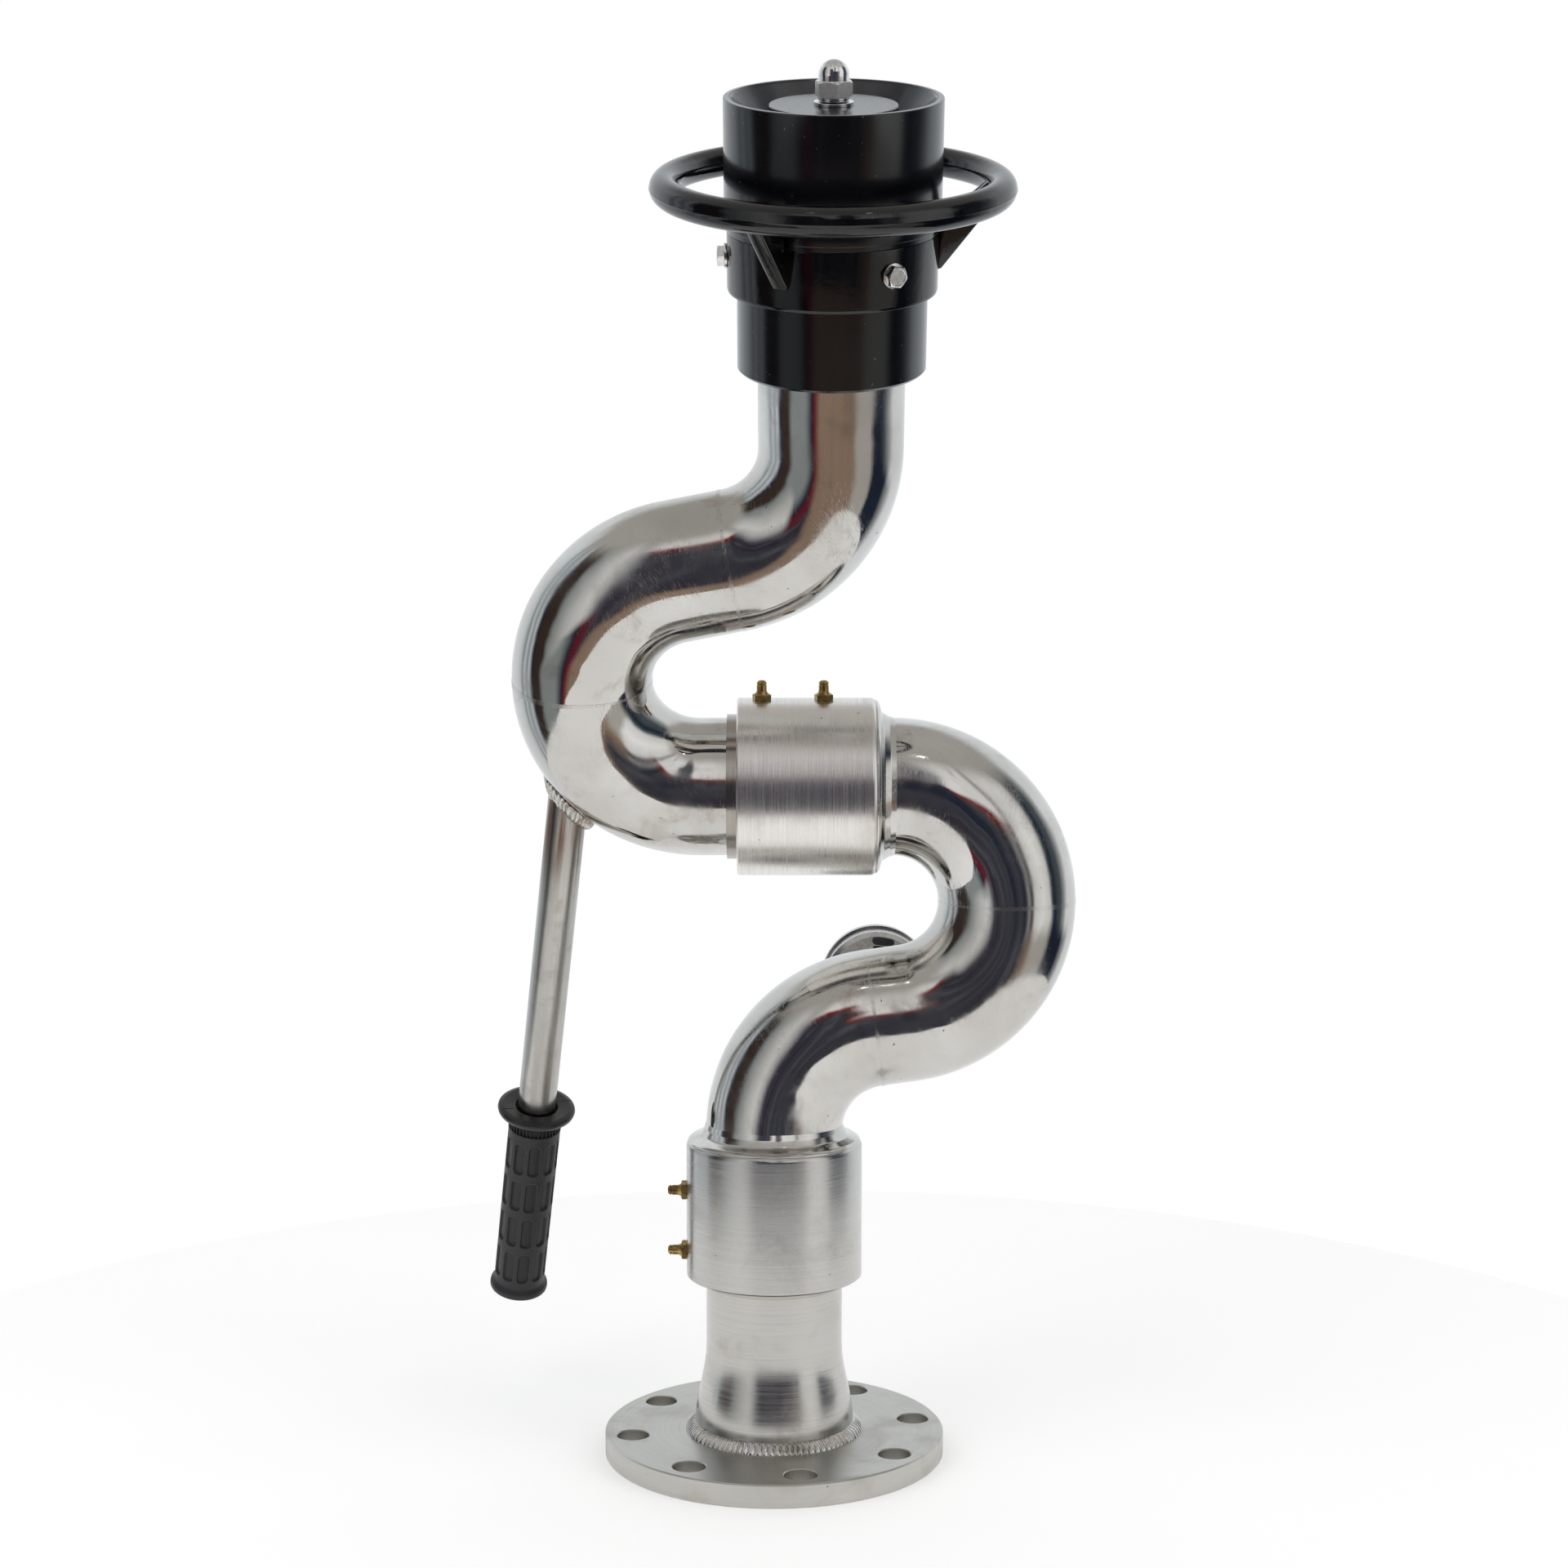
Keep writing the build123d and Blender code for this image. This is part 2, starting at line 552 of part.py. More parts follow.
with BuildPart() as handle_weld:
    add(tube_between(handle_plane, HANDLE_R + HANDLE_WELD_W, HANDLE_R, HANDLE_ROOT, 7).part)
    add(handle_mate.part, mode=Mode.SUBTRACT)
keep(handle_weld, "handle_weld")

handle_grip = turned(handle_plane, [
    (HANDLE_R + 1.5, grip_start), (GRIP_FLANGE_R - 1, grip_start), (GRIP_FLANGE_R, grip_start + 1.5),
    (GRIP_FLANGE_R, grip_start + GRIP_FLANGE_T - 1.5), (GRIP_FLANGE_R - 1, grip_start + GRIP_FLANGE_T),
    (GRIP_R, grip_start + GRIP_FLANGE_T), (GRIP_R, handle_length - GRIP_END_T - 2),
    (GRIP_END_R, handle_length - GRIP_END_T), (GRIP_END_R, handle_length - 1),
    (GRIP_END_R - 1, handle_length), (0, handle_length), (0, tube_end), (HANDLE_R, tube_end),
    (HANDLE_R, grip_start + 2), (HANDLE_R + 1.5, grip_start + 2)])
keep(handle_grip, "handle_grip")

# ---- Nozzle: fixed body, stem and baffle ------------------------------------------------------
nozzle_body = turned(nozzle_plane, [
    (PIPE_R, BODY_FOOT), (BODY_R - 1.5, BODY_FOOT), (BODY_R, BODY_FOOT + 1.5), (BODY_R, BODY_SHOULDER),
    (NOSE_R, BODY_SHOULDER), (NOSE_R, NOSE_TOP), (WATERWAY_R, NOSE_TOP), (WATERWAY_R, SPIDER_TOP),
    (PIPE_BORE_R, SPIDER_TOP), (PIPE_BORE_R, SOCKET_TOP), (PIPE_R, SOCKET_TOP)])
keep(nozzle_body, "nozzle_body")

with BuildPart() as nozzle_spider:
    with BuildSketch(across(nozzle_plane, STEM_FOOT)):
        Circle(PIPE_BORE_R)
        Circle(PIPE_BORE_R - 2.5, mode=Mode.SUBTRACT)
        Circle(10)
        with PolarLocations(0, 3):
            with Locations((20, 0)):
                Rectangle(28, 4)
        Circle(STEM_R, mode=Mode.SUBTRACT)
    extrude(amount=SPIDER_TOP - STEM_FOOT)
keep(nozzle_spider, "nozzle_spider")

disc_top = DISC[1]
nut_seat = disc_top + FLAT_WASHER_T + SPRING_WASHER_T
nozzle_stem = turned(nozzle_plane, [
    (0, STEM_FOOT), (STEM_R, STEM_FOOT), (STEM_R, DISC[0]), (THREAD_R, DISC[0]),
    (THREAD_R, nut_seat + 12), (0, nut_seat + 12)])
keep(nozzle_stem, "nozzle_stem")

baffle_disc = turned(nozzle_plane, [
    (THREAD_R, DISC[0]), (18, DISC[0]), (DISC_R - 1, disc_top - 2.6), (DISC_R, disc_top - 2),
    (DISC_R, disc_top - 0.4), (DISC_R - 0.4, disc_top), (THREAD_R, disc_top)])
keep(baffle_disc, "baffle_disc")
flat_washer = tube_between(nozzle_plane, 10.0, THREAD_R, disc_top, disc_top + FLAT_WASHER_T)
keep(flat_washer, "flat_washer")

with BuildPart() as spring_washer:
    add(tube_between(nozzle_plane, 7.8, THREAD_R, disc_top + FLAT_WASHER_T, nut_seat).part)
    with BuildSketch(across(nozzle_plane, disc_top)):
        with Locations((6.5, 0)):
            Rectangle(6, 1.0, rotation=12)
    extrude(amount=6, mode=Mode.SUBTRACT)
keep(spring_washer, "spring_washer")

DOME_R = 7.7
with BuildPart() as acorn_nut:
    with BuildSketch(across(nozzle_plane, nut_seat)):
        RegularPolygon(radius=ACORN_AF / 2, side_count=6, major_radius=False, rotation=10)
    extrude(amount=ACORN_HEX_H)
    with BuildSketch(nozzle_plane):
        with BuildLine():
            hex_top = nut_seat + ACORN_HEX_H
            Polyline((0, hex_top), (DOME_R, hex_top), (DOME_R, nut_seat + ACORN_H - DOME_R))
            CenterArc((0, nut_seat + ACORN_H - DOME_R), DOME_R, 0, 90)
            Line((0, nut_seat + ACORN_H), (0, hex_top))
        make_face()
    revolve(axis=axis_of(nozzle_plane))
    with BuildSketch(across(nozzle_plane, nut_seat)):
        Circle(THREAD_R)
    extrude(amount=12, mode=Mode.SUBTRACT)
keep(acorn_nut, "acorn_nut")

# ---- Nozzle: pattern sleeve that screws along the body ----------------------------------------
glide_ring = tube_between(nozzle_plane, GLIDE_R, BARREL_BORE_R, GLIDE[0], GLIDE[1])
keep(glide_ring, "glide_ring")


def bolt_faces(radius):
    """Outward planes at the hub bolts. An azimuth of 0 faces the operator's far side, -Y."""
    return [outward(nozzle_plane, HUB_BOLT_PLACE, 90 - azimuth, radius) for azimuth in BOLT_AZIMUTHS]


HUB_BOLT_R = 3.0
with BuildPart() as pattern_sleeve:
    with BuildSketch(nozzle_plane):
        with BuildLine():
            Polyline(
                (BARREL_BORE_R, HUB_FOOT + 1), (SKIRT_R, HUB_FOOT + 1), (SKIRT_R, HUB_TOP),
                (BARREL_R - 0.8, HUB_TOP), (BARREL_R - 0.8, HUB_TOP + 2.5), (BARREL_R, HUB_TOP + 3.2),
                (BARREL_R, RIM - 0.8), (BARREL_R - 0.8, RIM), (RIM_BORE_R, RIM), (THROAT_R, CONE_FOOT),
                (THROAT_R, THROAT_FOOT), (BARREL_BORE_R, THROAT_FOOT),
                (BARREL_BORE_R, GLIDE[1] + RUNNING_GAP),
                (GLIDE_R + RUNNING_GAP, GLIDE[1] + RUNNING_GAP),
                (GLIDE_R + RUNNING_GAP, GLIDE[0] - RUNNING_GAP),
                (BARREL_BORE_R, GLIDE[0] - RUNNING_GAP),
                close=True)
        make_face()
    revolve(axis=axis_of(nozzle_plane))
    with BuildSketch(*bolt_faces(BARREL_BORE_R - 3)):
        Circle(HUB_BOLT_R)
    extrude(amount=8, mode=Mode.SUBTRACT)
keep(pattern_sleeve, "pattern_sleeve")

with BuildPart() as handwheel:
    add(tube_between(nozzle_plane, HUB_R, SKIRT_R, HUB_FOOT, HUB_TOP).part)
    with BuildSketch(*bolt_faces(SKIRT_R - 3)):
        Circle(HUB_BOLT_R)
    extrude(amount=8, mode=Mode.SUBTRACT)
    with BuildSketch(nozzle_plane):
        with Locations((WHEEL_R, WHEEL_PLACE)):
            Circle(WHEEL_TUBE_R)
    revolve(axis=axis_of(nozzle_plane))
    for azimuth in RIB_AZIMUTHS:
        rib_face = outward(nozzle_plane, 0, 90 - azimuth, 0)
        rib_plane = Plane(origin=rib_face.origin, x_dir=rib_face.z_dir, z_dir=rib_face.z_dir.cross(
            nozzle_plane.y_dir))
        with BuildSketch(rib_plane):
            with BuildLine():
                Polyline((HUB_R - 0.8, HUB_FOOT + 11), (HUB_R + 1, HUB_FOOT + 11),
                         (WHEEL_R - 3, WHEEL_PLACE - 6), (WHEEL_R, WHEEL_PLACE),
                         (WHEEL_R - 6, WHEEL_PLACE + 2), (BARREL_R + 1.5, HUB_TOP + 6),
                         (BARREL_R + 1.5, HUB_TOP), (HUB_R - 0.8, HUB_TOP), close=True)
            make_face()
        extrude(amount=RIB_T / 2, both=True)
keep(handwheel, "handwheel")

WASHER_T = 1.4
HEAD_H = 4.0
with BuildPart() as hub_washers:
    with BuildSketch(*bolt_faces(HUB_R)):
        Circle(6.25)
        Circle(HUB_BOLT_R, mode=Mode.SUBTRACT)
    extrude(amount=WASHER_T)
keep(hub_washers, "hub_washers")

with BuildPart() as hub_bolts:
    with BuildSketch(*bolt_faces(BARREL_BORE_R + 0.7)):
        Circle(HUB_BOLT_R)
    extrude(amount=HUB_R + WASHER_T - BARREL_BORE_R - 0.7)
    with BuildSketch(*bolt_faces(HUB_R + WASHER_T)):
        RegularPolygon(radius=5, side_count=6, major_radius=False)
    extrude(amount=HEAD_H)
keep(hub_bolts, "hub_bolts")
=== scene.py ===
"""Looks of a manual stainless fire water monitor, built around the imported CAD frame."""
import json
import random
from math import acos, atan2, cos, degrees, pi, radians, sin, sqrt, tan

import bmesh
import bpy
from mathutils import Matrix, Vector
from mathutils.bvhtree import BVHTree


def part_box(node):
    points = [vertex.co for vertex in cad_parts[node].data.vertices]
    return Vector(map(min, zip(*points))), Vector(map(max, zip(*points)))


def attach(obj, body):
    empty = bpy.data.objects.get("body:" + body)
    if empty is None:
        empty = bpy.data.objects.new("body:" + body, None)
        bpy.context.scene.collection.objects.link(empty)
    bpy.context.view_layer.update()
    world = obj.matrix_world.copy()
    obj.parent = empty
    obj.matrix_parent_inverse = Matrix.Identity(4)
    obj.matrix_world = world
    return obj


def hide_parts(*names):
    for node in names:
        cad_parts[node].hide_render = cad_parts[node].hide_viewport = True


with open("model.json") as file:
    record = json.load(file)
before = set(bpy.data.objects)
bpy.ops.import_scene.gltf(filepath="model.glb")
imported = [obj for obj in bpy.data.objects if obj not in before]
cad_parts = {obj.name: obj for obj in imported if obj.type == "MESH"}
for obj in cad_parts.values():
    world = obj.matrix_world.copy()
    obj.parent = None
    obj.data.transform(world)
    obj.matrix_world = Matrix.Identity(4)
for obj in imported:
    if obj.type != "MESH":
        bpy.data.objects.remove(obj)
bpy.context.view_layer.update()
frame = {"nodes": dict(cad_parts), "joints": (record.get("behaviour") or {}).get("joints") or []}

MM = 0.001
TAU = 2 * pi
ON_AXIS = 1e-6
NODES = frame["nodes"]
JOINTS = {joint["name"]: joint for joint in frame["joints"]}

# ---- Driving dimensions, in millimetres, as the CAD part has them ----
PIPE_R = 38.05
FLANGE_T = 13.0
INLET_R = 44.45
FLANGE_WELD_LEG = 5.5
BASE_SLEEVE_Z = 101.0
ELEVATION_SLEEVE_X = -20.2
SLEEVE_R = 49.0
SHOULDER = 76.0
SHOULDER_FOOT = 79.5
SHOULDER_RISE = 10.5
NIPPLE_PLACES = (13.5, 47.5)
HANDLE_R = 11.0
HANDLE_TOP = (-114.5, -10.0)
HANDLE_FOOT = (-155.5, -332.0)
HANDLE_WELD_LEG = 5.9
GRIP_LENGTH = 128.0
HUB_FOOT = 278.0
HUB_TOP = 308.5
HUB_R = 53.5
SKIRT_R = 51.2
BARREL_R = 54.75
BARREL_BORE_R = 48.8
RIM = 374.0
RIM_BORE_R = 50.5
CONE_FOOT = 358.0
THROAT_R = 39.0
THROAT_FOOT = 344.0
GLIDE = (310.7, 317.3)
GLIDE_R = 50.6
WHEEL_R = 84.5
WHEEL_TUBE_R = 7.5
WHEEL_PLACE = 330.0
RIB_T = 8.5
RIB_AZIMUTHS = (-29, 91, 211)
BOLT_AZIMUTHS = (32.5, -87.5, 152.5)
HUB_BOLT_PLACE = 295.5
SCREW_FLATS = 10.0
SCREW_TOP = 4.9
WASHER_R = 6.25
WASHER_T = 1.4
DISC_TOP = 370.0
NUT_SEAT = 373.8
NUT_FLATS = 17.0
NUT_HEX = 8.0
NUT_HEIGHT = 18.0
NUT_DOME_R = 7.7
GAUGE_X = 60.0
GAUGE_Z = 252.5

# ---- Frames the pieces are made in ----
elevation_centre = Vector(JOINTS["elevation"]["pos_m"])
nozzle_up = Vector(JOINTS["pattern_turn"]["axis"])
turn_centre = Vector(JOINTS["pattern_turn"]["pos_m"])
nozzle_foot = turn_centre - nozzle_up * (turn_centre - elevation_centre).dot(nozzle_up)


def frame_at(origin, z_axis, y_hint):
    """A local frame whose Z is z_axis and whose Y leans to y_hint."""
    z = Vector(z_axis).normalized()
    x = Vector(y_hint).cross(z).normalized()
    y = z.cross(x)
    place = Matrix((x, y, z)).transposed().to_4x4()
    place.translation = origin
    return place


away = Vector((0, 1, 0))
nozzle_frame = frame_at(nozzle_foot, nozzle_up, away)
base_frame = Matrix.Identity(4)
leaning_origin = Vector((0, nozzle_foot.y, nozzle_foot.z))
handle_top = leaning_origin + Vector((HANDLE_TOP[0] * MM, 0, 0)) + nozzle_up * HANDLE_TOP[1] * MM
handle_foot = leaning_origin + Vector((HANDLE_FOOT[0] * MM, 0, 0)) + nozzle_up * HANDLE_FOOT[1] * MM
handle_frame = frame_at(handle_top, handle_foot - handle_top, away)
HANDLE_LENGTH = (handle_foot - handle_top).length / MM
gauge_frame = frame_at((GAUGE_X * MM, 0, GAUGE_Z * MM), away, (0, 0, 1))


def around(azimuth):
    """Local direction at an azimuth round a frame: 0 faces the camera side, 90 faces +X of the world."""
    return Vector((sin(radians(azimuth)), -cos(radians(azimuth)), 0))


# ---- Shader helpers ----
def node(tree, kind, sockets=None, **settings):
    """Adds a shader node, links or fills its inputs, and returns it."""
    made = tree.nodes.new("ShaderNode" + kind)
    for key, value in settings.items():
        setattr(made, key, value)
    for key, value in (sockets or {}).items():
        if isinstance(value, bpy.types.NodeSocket):
            tree.links.new(value, made.inputs[key])
        else:
            made.inputs[key].default_value = value
    return made


def maths(tree, operation, first, second=0.0, clamp=False):
    """Result of a Math node."""
    return node(tree, "Math", {0: first, 1: second}, operation=operation, use_clamp=clamp).outputs[0]


def add(tree, first, second, clamp=False):
    """Sum of two values."""
    return maths(tree, "ADD", first, second, clamp)


def times(tree, first, second):
    """Product of two values."""
    return maths(tree, "MULTIPLY", first, second)


def noise(tree, vector, scale, detail=3.0, roughness=0.5, distortion=0.0):
    """Fractal noise, round 0.5."""
    sockets = {"Vector": vector, "Scale": scale, "Detail": detail, "Roughness": roughness,
               "Distortion": distortion}
    return node(tree, "TexNoise", sockets).outputs["Fac"]


def span(tree, value, low, high, to_low, to_high, smooth=False):
    """value from low..high to to_low..to_high, clamped."""
    sockets = {"Value": value, "From Min": low, "From Max": high, "To Min": to_low, "To Max": to_high}
    kind = "SMOOTHSTEP" if smooth else "LINEAR"
    return node(tree, "MapRange", sockets, interpolation_type=kind, clamp=True).outputs["Result"]


def mix(tree, factor, first, second):
    """Blends two colours, each a socket or a plain colour."""
    made = node(tree, "Mix", {"Factor": factor}, data_type="RGBA")
    for socket, value in ((made.inputs[6], first), (made.inputs[7], second)):
        if isinstance(value, bpy.types.NodeSocket):
            tree.links.new(value, socket)
        else:
            socket.default_value = (*value, 1.0)
    return made.outputs[2]


def ramp(tree, value, stops):
    """Colour ramp through (position, colour) stops."""
    made = node(tree, "ValToRGB", {"Fac": value})
    elements = made.color_ramp.elements
    while len(elements) > 1:
        elements.remove(elements[-1])
    for index, (place, colour) in enumerate(stops):
        stop = elements[0] if index == 0 else elements.new(place)
        stop.position = place
        stop.color = (*colour, 1.0)
    return made.outputs["Color"]


def local_vector(tree, place=None, scale=(1, 1, 1)):
    """Object coordinates in a local frame, stretched by scale."""
    where = node(tree, "TexCoord").outputs["Object"]
    if place is not None:
        turn = place.to_euler("XYZ")
        where = node(tree, "Mapping", {"Vector": where, "Location": place.translation, "Rotation": turn},
                     vector_type="TEXTURE").outputs[0]
    if tuple(scale) != (1, 1, 1):
        where = node(tree, "Mapping", {"Vector": where, "Scale": scale}).outputs[0]
    return where


def turned_vector(tree, place, across_scale, along_scale):
    """Coordinates that run fast along a turned profile and slowly round it."""
    parts = node(tree, "SeparateXYZ", {0: local_vector(tree, place)})
    x, y, z = parts.outputs
    radius = maths(tree, "SQRT", add(tree, times(tree, x, x), times(tree, y, y)))
    sockets = {0: times(tree, x, across_scale), 1: times(tree, y, across_scale),
               2: times(tree, add(tree, radius, z), along_scale)}
    return node(tree, "CombineXYZ", sockets).outputs[0]


def start_material(name, **constants):
    """A new material and its node tree, with the shader's fixed sockets set."""
    made = bpy.data.materials.new(name)
    made.use_nodes = True
    shader = made.node_tree.nodes["Principled BSDF"]
    for socket, value in constants.items():
        shader.inputs[socket.replace("_", " ")].default_value = value
    return made, made.node_tree


def wired(made, colour, roughness, heights=()):
    """Wires colour, roughness and chained (height, distance) bumps into a material's shader."""
    tree = made.node_tree
    sockets = {"Base Color": colour, "Roughness": roughness}
    for height, distance in heights:
        bump = {"Height": height, "Distance": distance, "Strength": 1.0}
        if "Normal" in sockets:
            bump["Normal"] = sockets["Normal"]
        sockets["Normal"] = node(tree, "Bump", bump).outputs["Normal"]
    for socket, value in sockets.items():
        tree.links.new(value, tree.nodes["Principled BSDF"].inputs[socket])
    return made


# ---- Materials ----
def polished_steel(name, wave=0.00055, rough=(0.035, 0.19), grain=1.0):
    """Hand-polished stainless pipe: wavy reflections, hazy patches, fine marks and a few pits."""
    made, tree = start_material(name, Metallic=1.0)
    where = local_vector(tree)
    swell = noise(tree, where, 14, 1, 0.4)
    ripple = noise(tree, where, 42, 1, 0.4, 0.3)
    haze = noise(tree, where, 26, 5, 0.62, 0.4)
    marks_a = noise(tree, local_vector(tree, None, (2300, 420, 170)), 1, 3, 0.7)
    marks_b = noise(tree, local_vector(tree, Matrix.Rotation(0.9, 4, "Y"), (190, 440, 2500)), 1, 3, 0.7)
    patch = span(tree, noise(tree, where, 22, 3, 0.5), 0.47, 0.62, 0, 1, True)
    marks = node(tree, "Mix", {"Factor": patch, 2: marks_a, 3: marks_b}).outputs[0]
    pits = span(tree, noise(tree, where, 420, 1, 0.4), 0.79, 0.83, 0, 1)
    worn = span(tree, noise(tree, where, 19, 4, 0.6, 0.5), 0.46, 0.66, 0.12, 1, True)
    scuffs = times(tree, span(tree, marks, 0.50, 0.64, 0, 0.24 * grain, True), worn)
    roughness = add(tree, span(tree, haze, 0.40, 0.68, *rough, True), scuffs)
    roughness = add(tree, roughness, times(tree, pits, 0.3), True)
    cloud = noise(tree, where, 9, 2, 0.5, 0.3)
    tone = mix(tree, span(tree, haze, 0.4, 0.75, 0, 1), (0.69, 0.68, 0.655), (0.54, 0.525, 0.50))
    tone = mix(tree, span(tree, cloud, 0.42, 0.62, 0, 0.75), tone, (0.52, 0.50, 0.47))
    smudge = span(tree, noise(tree, where, 38, 5, 0.62, 0.6), 0.56, 0.74, 0, 0.55, True)
    tone = mix(tree, smudge, tone, (0.36, 0.31, 0.26))
    tone = mix(tree, pits, tone, (0.25, 0.19, 0.15))
    heights = [(swell, wave * 4.5), (ripple, wave * 0.55), (marks, 0.000006 * grain)]
    return wired(made, tone, roughness, heights)


def turned_steel(name, place, rough=(0.15, 0.26), ring=3600, depth=0.000008, tone=(0.56, 0.553, 0.535)):
    """Lathe-turned stainless: fine rings round the axis, soft bands, stains and pits."""
    made, tree = start_material(name, Metallic=1.0)
    rings = noise(tree, turned_vector(tree, place, 14, ring), 1, 4, 0.65)
    bands = noise(tree, turned_vector(tree, place, 4, 420), 1, 3, 0.6)
    where = local_vector(tree)
    stain = span(tree, noise(tree, where, 28, 5, 0.6, 0.5), 0.5, 0.75, 0, 1, True)
    pits = span(tree, noise(tree, where, 330, 1, 0.4), 0.80, 0.83, 0, 1)
    swell = noise(tree, where, 14, 2, 0.5)
    roughness = add(tree, span(tree, rings, 0.3, 0.7, *rough), times(tree, bands, 0.07))
    roughness = add(tree, roughness, times(tree, stain, 0.08), True)
    dull = tuple(channel * shade for channel, shade in zip(tone, (0.86, 0.84, 0.81)))
    colour = mix(tree, stain, tone, dull)
    colour = mix(tree, span(tree, rings, 0.35, 0.7, 0, 0.35), colour, dull)
    colour = mix(tree, pits, colour, (0.20, 0.14, 0.10))
    return wired(made, colour, roughness, [(swell, 0.0004), (bands, depth), (rings, depth)])


def drawn_steel(name, place):
    """Drawn stainless tube: fine scratches along it, dull streaks and a few stains."""
    made, tree = start_material(name, Metallic=1.0)
    lines = noise(tree, local_vector(tree, place, (1500, 1500, 16)), 1, 4, 0.65)
    broad = noise(tree, local_vector(tree, place, (160, 160, 9)), 1, 3, 0.55)
    stain = span(tree, noise(tree, local_vector(tree), 55, 5, 0.62, 0.5), 0.52, 0.75, 0, 1, True)
    swell = noise(tree, local_vector(tree), 20, 2, 0.5)
    colour = mix(tree, span(tree, broad, 0.35, 0.7, 0, 1), (0.52, 0.505, 0.475), (0.40, 0.385, 0.36))
    colour = mix(tree, stain, colour, (0.38, 0.36, 0.33))
    near_weld = node(tree, "SeparateXYZ", {0: local_vector(tree, place)}).outputs[2]
    heat = times(tree, span(tree, near_weld, 0.014, 0.062, 1, 0, True),
                 span(tree, broad, 0.40, 0.62, 0.30, 1.0))
    colour = mix(tree, heat, colour, (0.16, 0.10, 0.07))
    roughness = add(tree, span(tree, broad, 0.3, 0.7, 0.15, 0.27), times(tree, lines, 0.08), True)
    return wired(made, colour, roughness, [(swell, 0.0005), (lines, 0.000006)])


def weld_steel(name, heat=0.5):
    """Bright weld metal with straw and blue-brown heat tint and dark specks."""
    made, tree = start_material(name, Metallic=1.0)
    where = local_vector(tree)
    blotch = noise(tree, where, 120, 4, 0.6, 0.5)
    fine = noise(tree, where, 1500, 3, 0.6)
    tint = ramp(tree, blotch, [(0.30, (0.62, 0.61, 0.59)), (0.46, (0.52, 0.50, 0.46)),
                               (0.56, (0.36, 0.28, 0.20)), (0.66, (0.08, 0.06, 0.055))])
    colour = mix(tree, heat, (0.70, 0.69, 0.67), tint)
    roughness = span(tree, blotch, 0.3, 0.75, 0.08, 0.30)
    return wired(made, colour, roughness, [(blotch, 0.0002), (fine, 0.00004)])


def anodised_black(name, place, rough=(0.13, 0.20), tone=(0.0018, 0.0020, 0.0030), gleam=0.34):
    """Satin black anodised aluminium with faint turning lines, rubbed patches and specks of dust."""
    made, tree = start_material(name, Metallic=0.0, IOR=1.55, Specular_IOR_Level=gleam,
                                Coat_Weight=0.4, Coat_Roughness=0.13, Coat_IOR=1.6,
                                Coat_Tint=(0.92, 0.97, 1.0, 1.0))
    rings = noise(tree, turned_vector(tree, place, 9, 2600), 1, 3, 0.6)
    cloud = noise(tree, local_vector(tree), 45, 4, 0.6, 0.3)
    dust = span(tree, noise(tree, local_vector(tree), 520, 2, 0.5), 0.73, 0.78, 0, 1)
    pale = tuple(channel * 2.2 for channel in tone)
    colour = mix(tree, span(tree, cloud, 0.4, 0.75, 0, 1), tone, pale)
    colour = mix(tree, dust, colour, (0.16, 0.16, 0.165))
    roughness = add(tree, span(tree, rings, 0.3, 0.7, *rough), times(tree, cloud, 0.08))
    return wired(made, colour, roughness, [(rings, 0.0000015)])


def gloss_black(name):
    """Moulded gloss black handwheel: faint orange peel, light scuffs and dust."""
    made, tree = start_material(name, IOR=1.55, Specular_IOR_Level=0.5)
    where = local_vector(tree)
    peel = noise(tree, where, 260, 2, 0.5)
    scuff = noise(tree, where, 55, 5, 0.68, 0.6)
    dust = span(tree, noise(tree, where, 560, 2, 0.5), 0.74, 0.79, 0, 1)
    colour = mix(tree, span(tree, scuff, 0.5, 0.75, 0, 1), (0.0025, 0.0025, 0.0032), (0.007, 0.007, 0.008))
    colour = mix(tree, dust, colour, (0.14, 0.14, 0.14))
    roughness = span(tree, scuff, 0.35, 0.75, 0.06, 0.17)
    return wired(made, colour, roughness, [(peel, 0.00006)])


def rubber(name, tone=(0.017, 0.0175, 0.020), rough=(0.42, 0.58), fleck=0.2):
    """Moulded rubber with a fine matt skin, bloom and slight colour drift."""
    made, tree = start_material(name, IOR=1.50, Specular_IOR_Level=0.42, Sheen_Weight=0.06,
                                Sheen_Roughness=0.5)
    where = local_vector(tree)
    matt_skin = noise(tree, where, 1800, 3, 0.6)
    cloud = noise(tree, where, 60, 5, 0.62, 0.4)
    warm = tuple(channel * factor for channel, factor in zip(tone, (1.65, 1.55, 1.45)))
    colour = mix(tree, span(tree, cloud, 0.38, 0.72, 0, 1), tone, warm)
    spots = span(tree, noise(tree, where, 700, 2, 0.5), 0.66, 0.8, 0, fleck)
    colour = mix(tree, spots, colour, (0.12, 0.12, 0.12))
    roughness = add(tree, span(tree, cloud, 0.35, 0.75, *rough), times(tree, matt_skin, 0.06))
    return wired(made, colour, roughness, [(matt_skin, 0.00005)])


def brass(name):
    """Machined brass, tarnished darker in patches."""
    made, tree = start_material(name, Metallic=1.0)
    where = local_vector(tree)
    tarnish = noise(tree, where, 240, 4, 0.6, 0.5)
    fine = noise(tree, where, 2600, 2, 0.6)
    colour = ramp(tree, tarnish, [(0.32, (0.48, 0.34, 0.13)), (0.52, (0.36, 0.24, 0.085)),
                                  (0.70, (0.13, 0.08, 0.035))])
    roughness = span(tree, tarnish, 0.3, 0.75, 0.24, 0.46)
    return wired(made, colour, roughness, [(fine, 0.00002)])


